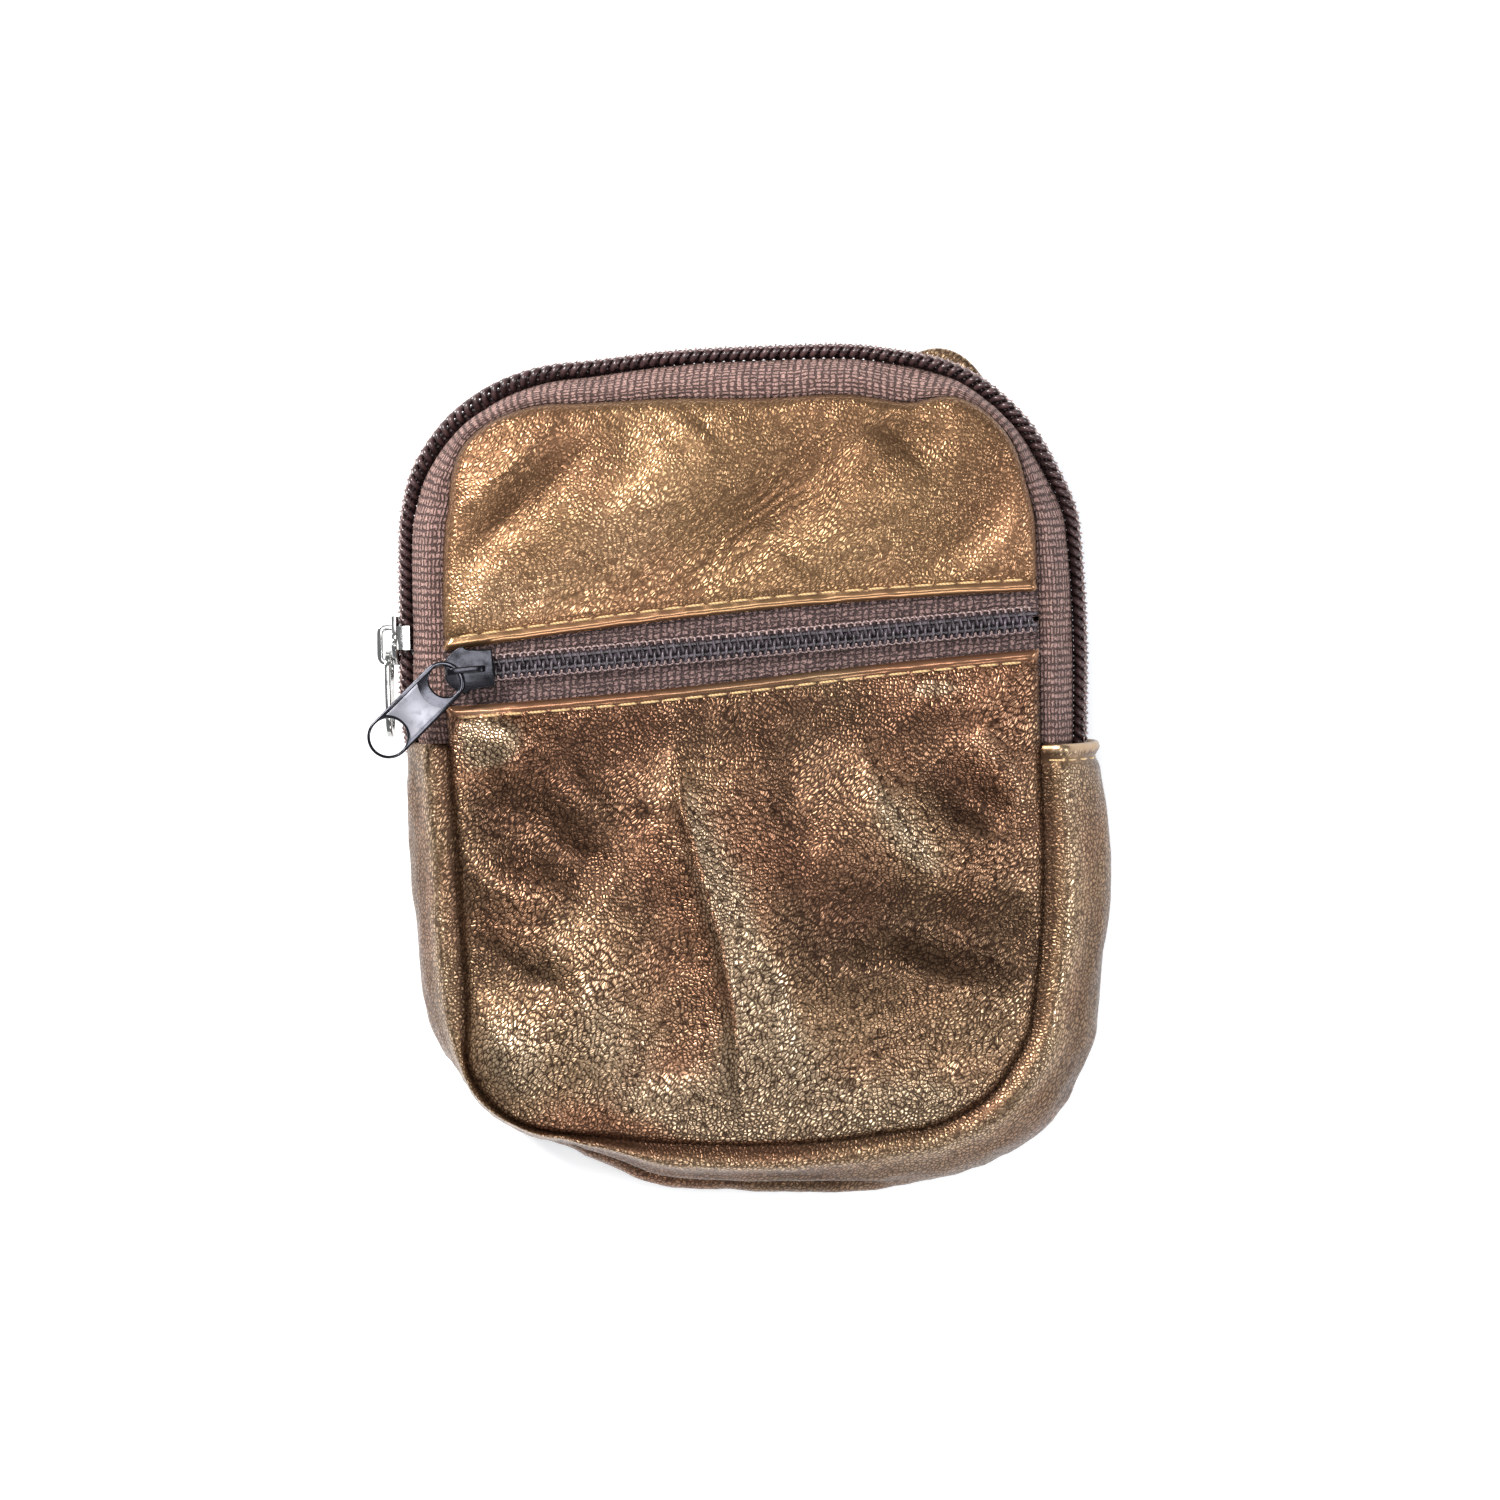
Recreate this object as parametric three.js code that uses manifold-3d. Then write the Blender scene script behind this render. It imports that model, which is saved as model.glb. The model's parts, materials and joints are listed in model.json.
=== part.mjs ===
// A small zippered pouch in soft leather, lying on its back.
// Millimetres. +X is to the right, +Y towards the main zip's top run, +Z out through the front.
// The origin is the middle of the back panel's outer face.
import * as THREE from 'three';
import { mergeVertices } from 'three/addons/utils/BufferGeometryUtils.js';
import Module from 'manifold-3d';

const wasm = await Module();
wasm.setup();

// ---- Driving sizes ----
const SEAM_HALF_WIDTH = 47; // the seam that runs round the front and the back panel
const SEAM_HALF_HEIGHT = 60;
const SEAM_RADIUS = 20;
const LEATHER = 1.2;
const LINING = 0.4;
const GAP = 0.3; // clearance between pieces that touch
const EDGE_DEPTH = 20.3; // back face to the underside of the front panels
const GUSSET_BULGE = 8; // how far the side wall stands out past the seam
const ZIP_END_Y = 5; // where the side wall changes from leather to zip
const LOWER_CROWN = 5;
const UPPER_CROWN = 2.5;
const SIDE_LEAN = -0.024; // sideways lean for each millimetre up the pouch
const FRONT_SHIFT = new THREE.Vector2(-2, -1.1); // how far the front has slumped over the back

const TAPE = 0.7;
const CHAIN_GAP = 1.2; // between the two halves of a zip's chain
const MAIN_TAPE_BULGE = 5.9;
const MAIN_COIL = { width: 2.1, height: 1.8 };
const MAIN_SLIDER_Y = 21;

const POCKET_Y = 20.6; // the pocket zip's height at the middle of the front
const POCKET_SLOPE = 5.15; // degrees
const POCKET_LIP = 4.8; // from the chain's middle to the leather's folded edge
const POCKET_TAPE_HALF = 10.5;
const POCKET_COIL = { width: 1.5, height: 1.6 };
const POCKET_SLIDER_X = -43.1;
const POCKET_SAG = 4.5;

const PLATE = 0.9; // slider plates
const BRIDGE = { width: 1, thickness: 0.9, clear: 1.9 };
const BAR_AT = -1.8; // where the pull's bar sits under the bridge, along the slider
const BAR_HEIGHT = 0.95;

// ---- Worked out from them ----
const WALL_LOW = LEATHER + GAP;
const WALL_HIGH = EDGE_DEPTH - GAP;
const WALL_MID = (WALL_LOW + WALL_HIGH) / 2;
const WALL_HALF = (WALL_HIGH - WALL_LOW) / 2;
const FRONT_TOP = EDGE_DEPTH + LEATHER;
const POCKET_TAPE_TOP = EDGE_DEPTH - GAP;
const LEAN = new THREE.Matrix4().set(
  1, SIDE_LEAN, FRONT_SHIFT.x / EDGE_DEPTH, 0,
  0, 1, FRONT_SHIFT.y / EDGE_DEPTH, 0,
  0, 0, 1, 0,
  0, 0, 0, 1,
);

const radians = THREE.MathUtils.degToRad;

// ---- Materials, one for each mesh ----
const LOOKS = {
  leather: { color: 0x8a5a38, roughness: 0.38, metalness: 0.55 },
  lining: { color: 0x4a3a34, roughness: 0.9, metalness: 0 },
  mainTape: { color: 0x7d5a55, roughness: 0.9, metalness: 0 },
  pocketTape: { color: 0x4b373c, roughness: 0.9, metalness: 0 },
  coil: { color: 0x3a2628, roughness: 0.35, metalness: 0 },
  nickel: { color: 0xc9c9c6, roughness: 0.25, metalness: 1 },
  gunmetal: { color: 0x3c3c44, roughness: 0.35, metalness: 0.8 },
  thread: { color: 0xa87c3f, roughness: 0.7, metalness: 0 },
};

function piece(name, geometry, look) {
  const mesh = new THREE.Mesh(geometry, new THREE.MeshStandardMaterial(LOOKS[look]));
  mesh.name = name;
  return mesh;
}

// Soft pieces share the slump of the whole pouch.
function softPiece(name, geometry, look) {
  return piece(name, geometry.applyMatrix4(LEAN), look);
}

// ---- Cutting and joining ----
function toSolid(geometry) {
  const bare = geometry.clone();
  bare.deleteAttribute('normal');
  bare.deleteAttribute('uv');
  const merged = mergeVertices(bare);
  return new wasm.Manifold(new wasm.Mesh({
    numProp: 3,
    vertProperties: new Float32Array(merged.attributes.position.array),
    triVerts: new Uint32Array(merged.index.array),
  }));
}

function toGeometry(solid) {
  const mesh = solid.getMesh();
  const geometry = new THREE.BufferGeometry();
  geometry.setAttribute('position', new THREE.BufferAttribute(mesh.vertProperties, 3));
  geometry.setIndex(new THREE.BufferAttribute(mesh.triVerts, 1));
  geometry.computeVertexNormals();
  return geometry;
}

function common(...geometries) {
  return toGeometry(geometries.map(toSolid).reduce((solid, next) => solid.intersect(next)));
}

function joined(...geometries) {
  return toGeometry(geometries.map(toSolid).reduce((solid, next) => solid.add(next)));
}

// ---- Outlines and paths ----
function seamOutline(inset) {
  const x = SEAM_HALF_WIDTH - inset;
  const y = SEAM_HALF_HEIGHT - inset;
  const radius = SEAM_RADIUS - inset;
  const shape = new THREE.Shape();
  shape.moveTo(x, radius - y);
  shape.absarc(x - radius, y - radius, radius, 0, Math.PI / 2);
  shape.absarc(radius - x, y - radius, radius, Math.PI / 2, Math.PI);
  shape.absarc(radius - x, radius - y, radius, Math.PI, 1.5 * Math.PI);
  shape.absarc(x - radius, radius - y, radius, 1.5 * Math.PI, 2 * Math.PI);
  return shape;
}

// A flat sheet inside the seam line.
function seamPlate(inset, bottom, thickness) {
  const options = { depth: thickness, bevelEnabled: false, curveSegments: 8 };
  return new THREE.ExtrudeGeometry(seamOutline(inset), options).translate(0, 0, bottom);
}

// A path drawn flat at the middle of the side wall's depth.
class WallPath extends THREE.Curve {
  constructor(path) {
    super();
    this.path = path;
  }

  getPoint(t, target = new THREE.Vector3()) {
    const point = this.path.getPoint(t);
    return target.set(point.x, point.y, WALL_MID);
  }
}

// Clockwise along the seam from one side to the other: over the top (side 1) or the bottom (side -1).
function seamRun(side, endY) {
  const x = SEAM_HALF_WIDTH * side;
  const y = SEAM_HALF_HEIGHT * side;
  const reach = SEAM_RADIUS * side;
  const start = side > 0 ? Math.PI : 0;
  const path = new THREE.Path();
  path.moveTo(-x, endY);
  path.lineTo(-x, y - reach);
  path.absarc(reach - x, y - reach, SEAM_RADIUS, start, start - Math.PI / 2, true);
  path.absarc(x - reach, y - reach, SEAM_RADIUS, start - Math.PI / 2, start - Math.PI, true);
  path.lineTo(x, endY);
  return new WallPath(path);
}

// A section point: distance out from the seam, and height from the middle of the wall.
function sectionPoint(out, height) {
  return new THREE.Vector2(-height, out);
}

function wallArc(out, half, fromDegrees, toDegrees, steps) {
  return Array.from({ length: steps + 1 }, (_, i) => {
    const angle = radians(fromDegrees + ((toDegrees - fromDegrees) * i) / steps);
    return sectionPoint(out * Math.cos(angle), half * Math.sin(angle));
  });
}

// The section of a bowed wall, which is half an oval of even thickness.
function wallSection({ out, half, thickness, from, to, steps }) {
  return new THREE.Shape([
    ...wallArc(out, half, from, to, steps),
    ...wallArc(out - thickness, half - thickness, to, from, steps),
  ]);
}

function sweep(section, path, steps) {
  return new THREE.ExtrudeGeometry(section, { extrudePath: path, steps, bevelEnabled: false });
}

// ---- The front's shape ----
function pocketLineY(x) {
  return POCKET_Y + x * Math.tan(radians(POCKET_SLOPE));
}

// A band of the front that runs along the pocket zip, between two distances above its middle.
function pocketBand(from, to) {
  const band = new THREE.BoxGeometry(300, to - from, 60);
  band.translate(0, (from + to) / 2, 0);
  return band.rotateZ(radians(POCKET_SLOPE)).translate(0, POCKET_Y, EDGE_DEPTH);
}

function lowerCrown(x, y) {
  const lip = pocketLineY(x) - POCKET_LIP;
  const down = THREE.MathUtils.clamp((lip - y) / (lip + SEAM_HALF_HEIGHT), 0, 1);
  return LOWER_CROWN * acrossCrown(x) * Math.sin(Math.PI * down) ** 2;
}

function upperCrown(x, y) {
  const lip = pocketLineY(x) + POCKET_LIP;
  const up = THREE.MathUtils.clamp((y - lip) / (SEAM_HALF_HEIGHT - lip), 0, 1);
  return UPPER_CROWN * acrossCrown(x) * Math.sin(Math.PI * up) ** 2;
}

function acrossCrown(x) {
  return Math.max(0, 1 - (x / SEAM_HALF_WIDTH) ** 4);
}

function pocketSag(x, y) {
  const across = 1 - Math.min(1, Math.abs(x) / SEAM_HALF_WIDTH) ** 6;
  const along = 1 - Math.min(1, Math.abs(y) / SEAM_HALF_HEIGHT) ** 6;
  return -POCKET_SAG * across * along;
}

// A sheet a little larger than the front, raised or lowered by a function of its place.
function bentSheet(bottom, thickness, rise) {
  const margin = 4;
  const cells = { across: 14, along: 24 };
  const sheet = new THREE.BoxGeometry(
    2 * SEAM_HALF_WIDTH + margin, 2 * SEAM_HALF_HEIGHT + margin, thickness, cells.across, cells.along, 1,
  );
  sheet.translate(0, 0, bottom + thickness / 2);
  const position = sheet.attributes.position;
  for (let i = 0; i < position.count; i += 1) {
    position.setZ(i, position.getZ(i) + rise(position.getX(i), position.getY(i)));
  }
  return sheet;
}

function seamPrism(inset) {
  return seamPlate(inset, 0, 2 * EDGE_DEPTH);
}

// ---- Leather and lining ----
function leatherPieces() {
  const upper = common(bentSheet(EDGE_DEPTH, LEATHER, upperCrown), seamPrism(0), pocketBand(POCKET_LIP, 90));
  const lower = common(bentSheet(EDGE_DEPTH, LEATHER, lowerCrown), seamPrism(0), pocketBand(-120, -POCKET_LIP));
  const gusset = wallSection({
    out: GUSSET_BULGE, half: WALL_HALF, thickness: LEATHER, from: -97, to: 97, steps: 12,
  });
  return [
    softPiece('back_panel', seamPlate(0, 0, LEATHER), 'leather'),
    softPiece('front_upper_panel', upper, 'leather'),
    softPiece('front_lower_panel', lower, 'leather'),
    softPiece('gusset', sweep(gusset, seamRun(-1, ZIP_END_Y), 44), 'leather'),
  ];
}

function liningPieces() {
  const inset = 1.5;
  const inner = LEATHER + GAP;
  const gusset = wallSection({
    out: GUSSET_BULGE - inner, half: WALL_HALF - inner, thickness: LINING, from: -90, to: 90, steps: 8,
  });
  const pocketEdge = EDGE_DEPTH - 2.9;
  const pocket = common(bentSheet(pocketEdge, LINING, pocketSag), seamPrism(inset));
  return [
    softPiece('back_lining', seamPlate(inset, WALL_LOW, LINING), 'lining'),
    softPiece('gusset_lining', sweep(gusset, seamRun(-1, ZIP_END_Y), 36), 'lining'),
    softPiece('pocket_lining', pocket, 'lining'),
  ];
}

// ---- Zips ----
// One half of the main zip: half 1 is sewn to the front, half -1 to the back.
function mainZipHalf(half, label) {
  const path = seamRun(1, ZIP_END_Y + GAP);
  const chainEdge = 4; // degrees round the wall, where the tape stops short of the chain's middle
  const tape = wallSection({
    out: MAIN_TAPE_BULGE,
    half: WALL_HALF - 0.1,
    thickness: TAPE,
    from: chainEdge * half,
    to: 90 * half,
    steps: 6,
  });
  const inner = CHAIN_GAP / 2;
  const outer = inner + MAIN_COIL.width;
  const base = MAIN_TAPE_BULGE + GAP;
  const top = base + MAIN_COIL.height;
  const coil = new THREE.Shape([
    sectionPoint(base, inner * half),
    sectionPoint(top - 0.3, inner * half),
    sectionPoint(top, (inner + 0.5) * half),
    sectionPoint(top, (outer - 0.7) * half),
    sectionPoint(top - 0.7, outer * half),
    sectionPoint(base, outer * half),
  ]);
  return [
    softPiece(`main_tape_${label}`, sweep(tape, path, 48), 'mainTape'),
    softPiece(`main_coil_${label}`, sweep(coil, path, 56), 'coil'),
  ];
}

// One half of the pocket zip: half 1 is under the upper lip, half -1 under the lower lip.
function pocketZipHalf(half, label) {
  const inset = 1.3;
  const inner = CHAIN_GAP / 2;
  const band = (from, to) => (half > 0 ? pocketBand(from, to) : pocketBand(-to, -from));
  const tape = common(
    seamPlate(inset, POCKET_TAPE_TOP - TAPE, TAPE), band(inner, POCKET_TAPE_HALF),
  );
  const coil = common(
    seamPlate(inset, POCKET_TAPE_TOP + GAP, POCKET_COIL.height), band(inner, inner + POCKET_COIL.width),
  );
  return [
    softPiece(`pocket_tape_${label}`, tape, 'pocketTape'),
    softPiece(`pocket_coil_${label}`, coil, 'coil'),
  ];
}

// ---- Stitching ----
function lipStitch(half, label) {
  const near = POCKET_LIP + 1.2;
  const far = near + 0.5;
  const rise = half > 0 ? upperCrown : lowerCrown;
  const band = half > 0 ? pocketBand(near, far) : pocketBand(-far, -near);
  const thread = common(bentSheet(FRONT_TOP + GAP, 0.3, rise), seamPrism(1), band);
  return softPiece(`pocket_stitch_${label}`, thread, 'thread');
}

function hemStitch(side, label) {
  const below = ZIP_END_Y - 2.4;
  const width = 0.5;
  const clear = 0.6;
  const section = wallSection({
    out: GUSSET_BULGE + clear, half: WALL_HALF + clear, thickness: GAP, from: -75, to: 75, steps: 10,
  });
  const start = new THREE.Vector3(SEAM_HALF_WIDTH * side, below + (side > 0 ? width : 0), WALL_MID);
  const end = new THREE.Vector3(SEAM_HALF_WIDTH * side, below + (side > 0 ? 0 : width), WALL_MID);
  return softPiece(`hem_stitch_${label}`, sweep(section, new THREE.LineCurve3(start, end), 1), 'thread');
}

// ---- Sliders and pulls ----
// A slider's own axes: X towards the closed chain, Y across it, Z out from the tape's face.
function block(x, y, z) {
  const box = new THREE.BoxGeometry(x[1] - x[0], y[1] - y[0], z[1] - z[0]);
  return box.translate((x[0] + x[1]) / 2, (y[0] + y[1]) / 2, (z[0] + z[1]) / 2);
}

function plateOutline({ length, wing, nose }) {
  const half = length / 2;
  const shape = new THREE.Shape();
  shape.moveTo(half, -nose);
  shape.lineTo(half, nose);
  shape.quadraticCurveTo(half - 2, nose, -0.4, wing);
  shape.lineTo(-1.8, wing);
  shape.quadraticCurveTo(-half, wing - 0.6, -half, 1.3);
  shape.lineTo(-half, -1.3);
  shape.quadraticCurveTo(-half, 0.6 - wing, -1.8, -wing);
  shape.lineTo(-0.4, -wing);
  shape.quadraticCurveTo(half - 2, -nose, half, -nose);
  return shape;
}

function plate(size, bottom) {
  const options = { depth: PLATE, bevelEnabled: false, curveSegments: 5 };
  return new THREE.ExtrudeGeometry(plateOutline(size), options).translate(0, 0, bottom);
}

function sliderBody({ coil, below }) {
  const top = coil.height + 2 * GAP;
  const channel = CHAIN_GAP / 2 + coil.width + GAP;
  const wall = 0.6;
  const nose = channel + wall;
  const upper = plate({ length: 7.8, wing: channel + 1.4, nose }, top);
  const lower = plate({ length: 6.6, wing: nose + 0.2, nose }, -below - PLATE);
  const sink = 0.2; // the walls and the post run into the plates
  const walls = [1, -1].map((side) => {
    const across = side > 0 ? [channel, nose] : [-nose, -channel];
    return block([-1.6, 2.2], across, [GAP, top + sink]);
  });
  const post = block([-3.1, -1.2], [-0.3, 0.3], [-below - sink, top + sink]);
  return joined(upper, lower, post, ...walls);
}

// The arched strip that holds the pull, drawn from the side.
function bridgeGeometry() {
  const { width, thickness, clear } = BRIDGE;
  const back = 2.6;
  const tip = -3.8;
  const top = clear + thickness;
  const shape = new THREE.Shape();
  shape.moveTo(back, GAP);
  shape.lineTo(back, top - 1.2);
  shape.quadraticCurveTo(back, top, back - 1.4, top);
  shape.lineTo(tip + 1.4, top);
  shape.quadraticCurveTo(tip, top, tip, top - 1.2);
  shape.lineTo(tip, GAP);
  shape.lineTo(tip + thickness - 0.3, GAP);
  shape.quadraticCurveTo(tip + thickness - 0.3, clear, tip + thickness + 0.4, clear);
  shape.lineTo(back - thickness - 0.6, clear);
  shape.quadraticCurveTo(back - thickness, clear, back - thickness, clear - 0.8);
  shape.lineTo(back - thickness, GAP);
  const strip = new THREE.ExtrudeGeometry(shape, { depth: width, bevelEnabled: false, curveSegments: 4 });
  return strip.rotateX(Math.PI / 2).translate(0, width / 2, 0);
}

// A pull lies along its own +X from the bar that the bridge holds, which it holds aside of its middle.
function pullGeometry({ length, halfWidth, eye, hole, thickness, aside }) {
  const bar = 0.4;
  const near = halfWidth - bar;
  const far = length - bar - halfWidth;
  const shape = new THREE.Shape();
  shape.absarc(near, 0, halfWidth, Math.PI / 2, 1.5 * Math.PI);
  shape.absarc(far, 0, halfWidth, -Math.PI / 2, Math.PI / 2);
  const eyeHole = new THREE.Path();
  eyeHole.absellipse(bar + eye.along, 0, eye.along, eye.across, 0, 2 * Math.PI, true, 0);
  const farHole = new THREE.Path();
  farHole.absarc(far, 0, hole, 0, 2 * Math.PI, true);
  shape.holes.push(eyeHole, farHole);
  const plain = new THREE.ExtrudeGeometry(shape, { depth: thickness, bevelEnabled: false, curveSegments: 12 });
  return plain.translate(0, -aside, -thickness / 2);
}

// A slider with its bridge and its pull. turn is the pull's heading in the slider's own plane, in degrees.
function sliderSet(name, { look, coil, below, pull, turn }) {
  const plateTop = coil.height + 2 * GAP + PLATE;
  const set = new THREE.Group();
  const bridge = piece(`${name}_slider_bridge`, bridgeGeometry(), look);
  bridge.position.set(0, 0, plateTop);
  const hinged = piece(`${name}_pull`, pullGeometry(pull), look);
  hinged.position.set(BAR_AT, 0, plateTop + BAR_HEIGHT);
  hinged.rotation.z = radians(turn);
  set.add(piece(`${name}_slider_body`, sliderBody({ coil, below }), look), bridge, hinged);
  return set;
}

function mainSlider() {
  const set = sliderSet('main', {
    look: 'nickel',
    coil: MAIN_COIL,
    below: 1.7,
    pull: {
      length: 14, halfWidth: 2.9, eye: { along: 2.1, across: 2.1 }, hole: 1.6, thickness: 0.9, aside: 0,
    },
    turn: 180,
  });
  const along = new THREE.Vector3(SIDE_LEAN, 1, 0).normalize();
  const backwards = new THREE.Vector3(-FRONT_SHIFT.x, 0, -EDGE_DEPTH);
  const out = along.clone().cross(backwards).normalize();
  const across = out.clone().cross(along);
  set.setRotationFromMatrix(new THREE.Matrix4().makeBasis(along, across, out));
  set.position.set(-SEAM_HALF_WIDTH - MAIN_TAPE_BULGE, MAIN_SLIDER_Y, WALL_MID).applyMatrix4(LEAN);
  return set;
}

function pocketSlider() {
  const set = sliderSet('pocket', {
    look: 'gunmetal',
    coil: POCKET_COIL,
    below: TAPE + GAP,
    pull: {
      length: 19, halfWidth: 3.5, eye: { along: 2.3, across: 2.7 }, hole: 3, thickness: 1, aside: 0.3,
    },
    turn: 225 - POCKET_SLOPE,
  });
  set.rotation.z = radians(POCKET_SLOPE);
  set.position.set(POCKET_SLIDER_X, pocketLineY(POCKET_SLIDER_X), POCKET_TAPE_TOP).applyMatrix4(LEAN);
  return set;
}

// ---- The pouch ----
const pouch = new THREE.Group();
pouch.add(
  ...leatherPieces(),
  ...liningPieces(),
  ...mainZipHalf(1, 'front'),
  ...mainZipHalf(-1, 'back'),
  ...pocketZipHalf(1, 'upper'),
  ...pocketZipHalf(-1, 'lower'),
  lipStitch(1, 'upper'),
  lipStitch(-1, 'lower'),
  hemStitch(-1, 'left'),
  hemStitch(1, 'right'),
  mainSlider(),
  pocketSlider(),
);

export default pouch;
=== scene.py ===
"""A small zippered leather pouch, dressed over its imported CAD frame."""
import json
import math

import bmesh
import bpy
import numpy as np
from mathutils import Matrix, Vector, noise


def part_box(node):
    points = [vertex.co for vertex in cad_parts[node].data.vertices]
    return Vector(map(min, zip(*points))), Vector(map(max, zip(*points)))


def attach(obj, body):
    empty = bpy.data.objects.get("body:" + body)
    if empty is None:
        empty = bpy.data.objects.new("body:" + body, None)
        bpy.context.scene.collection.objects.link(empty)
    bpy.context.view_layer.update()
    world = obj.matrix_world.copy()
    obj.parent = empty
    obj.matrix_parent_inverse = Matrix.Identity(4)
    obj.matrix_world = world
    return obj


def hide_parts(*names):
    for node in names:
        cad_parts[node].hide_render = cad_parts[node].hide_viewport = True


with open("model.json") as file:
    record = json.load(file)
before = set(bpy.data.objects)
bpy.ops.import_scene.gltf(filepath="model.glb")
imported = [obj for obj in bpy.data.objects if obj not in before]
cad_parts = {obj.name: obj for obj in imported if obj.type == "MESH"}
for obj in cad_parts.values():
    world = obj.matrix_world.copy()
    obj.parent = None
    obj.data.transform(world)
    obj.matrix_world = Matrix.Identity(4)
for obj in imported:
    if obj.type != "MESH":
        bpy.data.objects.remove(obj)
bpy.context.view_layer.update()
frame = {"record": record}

# ---------------------------------------------------------------- sizes, in millimetres
MM = 0.001
SEAM_HALF_WIDTH = 47.0
SEAM_HALF_HEIGHT = 60.0
SEAM_RADIUS = 20.0
SIDE_LEAN = -0.024  # as in the CAD: the whole pouch leans and its front has slumped
FRONT_SHIFT = (-2.0, -1.1)
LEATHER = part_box("back_panel")[1].z / MM
EDGE_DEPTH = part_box("front_lower_panel")[0].z / MM
FRONT_TOP = EDGE_DEPTH + LEATHER
GAP = 0.3
WALL_CLEAR = 0.1  # the wall's leather stays this far inside its edges
BOTTOM_CREASE_T = 6.63  # places on the seam: the deep crease below the pouch,
BACK_FLARE_T = 3.12  # and the flare of the back at the top right
WALL_LOW = LEATHER + GAP
WALL_HIGH = EDGE_DEPTH - GAP
WALL_MID = (WALL_LOW + WALL_HIGH) / 2
WALL_HALF = (WALL_HIGH - WALL_LOW) / 2
ZIP_END_Y = 5.0
TAPE = 0.6
MAIN_COIL_BASE = 0.05  # the main coil's line stands off its tape by this and by the lift below
WIRE_LIFT = 0.35  # from there, or from the pocket's tape, to the middle of a coil's lowest wire
THREAD_RADIUS = 0.13
MAIN_COIL = {"pitch": 1.6, "width": 2.3, "height": 1.4, "wire": 0.52, "slant": 0.38}
POCKET_COIL = {"pitch": 1.27, "width": 2.2, "height": 1.15, "wire": 0.25, "slant": 0.0}
POCKET_TAPE_TOP = EDGE_DEPTH - GAP
STITCH = {"length": 3.0, "gap": 0.6, "radius": 0.21}
UPPER_LIP_RISE = 5.3  # from the pocket zip's chain line to the leather's lips
LOWER_LIP_DROP = 5.5
LIP_STITCH_IN = 1.9
HEM_STITCH_IN = 2.6
PEBBLES_PER_METRE = 1500.0
PLATE = 0.9
BAR_AT = -1.8
BAR_HEIGHT = 0.95

rng = np.random.default_rng(7)


# ---------------------------------------------------------------- meshes
def link(name, mesh):
    obj = bpy.data.objects.new(name, mesh)
    bpy.context.scene.collection.objects.link(obj)
    return obj


def build(name, points, faces, uv=None, marks=None):
    """A smooth-shaded closed mesh from points in millimetres, with its faces turned outwards."""
    mesh = bpy.data.meshes.new(name)
    mesh.from_pydata((np.asarray(points) * MM).tolist(), [], faces)
    mesh.update()
    work = bmesh.new()
    work.from_mesh(mesh)
    bmesh.ops.recalc_face_normals(work, faces=work.faces)
    work.to_mesh(mesh)
    work.free()
    mesh.polygons.foreach_set("use_smooth", [True] * len(mesh.polygons))
    if uv is not None:
        layer = mesh.uv_layers.new(name="weave")
        corner = np.empty(len(mesh.loops), int)
        mesh.loops.foreach_get("vertex_index", corner)
        layer.data.foreach_set("uv", np.asarray(uv, float)[corner].ravel())
    for label, values in (marks or {}).items():
        attribute = mesh.attributes.new(label, "FLOAT", "POINT")
        attribute.data.foreach_set("value", np.asarray(values, float).ravel())
    return link(name, mesh)


def unit(vectors):
    return vectors / np.linalg.norm(vectors, axis=1, keepdims=True)


def run_along(line):
    """How far along a line each of its points lies."""
    return np.concatenate([[0], np.cumsum(np.linalg.norm(np.diff(line, axis=0), axis=1))])


def at_places(places, run, values):
    """Values kept at each point of a line, read at other places along it."""
    return np.column_stack([np.interp(places, run, values[:, i]) for i in range(values.shape[1])])


def grid_faces(rows, columns, start=0):
    return [
        (start + r * columns + c, start + r * columns + c + 1,
         start + (r + 1) * columns + c + 1, start + (r + 1) * columns + c)
        for r in range(rows - 1) for c in range(columns - 1)
    ]


def shell(name, outer, inner, uv=None, looks=None):
    """A closed sheet between two grids of points of the same size."""
    rows, columns = outer.shape[:2]
    count = rows * columns
    faces = grid_faces(rows, columns) + [f[::-1] for f in grid_faces(rows, columns, count)]
    rim = list(range(columns))
    rim += [r * columns + columns - 1 for r in range(1, rows)]
    rim += [(rows - 1) * columns + c for c in range(columns - 2, -1, -1)]
    rim += [r * columns for r in range(rows - 2, 0, -1)]
    for a, b in zip(rim, rim[1:] + rim[:1]):
        faces.append((b, a, count + a, count + b))
    points = np.vstack([outer.reshape(-1, 3), inner.reshape(-1, 3)])
    both = None if uv is None else np.vstack([uv.reshape(-1, 2)] * 2)
    marks = None
    if looks is not None:
        marks = {label: np.tile(values.ravel(), 2) for label, values in zip(("tone", "plain"), looks)}
    return build(name, points, faces, both, marks)


def tube_mesh(centre, reference, radius, sides):
    """Points and faces of a closed tube. Its section turns with the direction `reference`."""
    along = unit(np.gradient(centre, axis=0))
    first = unit(np.cross(along, reference))
    second = np.cross(along, first)
    angle = np.arange(sides) * 2 * math.pi / sides
    size = np.broadcast_to(np.asarray(radius, float), (len(centre),))[:, None, None]
    ring = centre[:, None] + size * (
        first[:, None] * np.cos(angle)[None, :, None] + second[:, None] * np.sin(angle)[None, :, None]
    )
    faces = [
        (r * sides + c, r * sides + (c + 1) % sides, (r + 1) * sides + (c + 1) % sides, (r + 1) * sides + c)
        for r in range(len(centre) - 1) for c in range(sides)
    ]
    faces.append(tuple(range(sides))[::-1])
    faces.append(tuple((len(centre) - 1) * sides + c for c in range(sides)))
    return ring.reshape(-1, 3), faces


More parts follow.
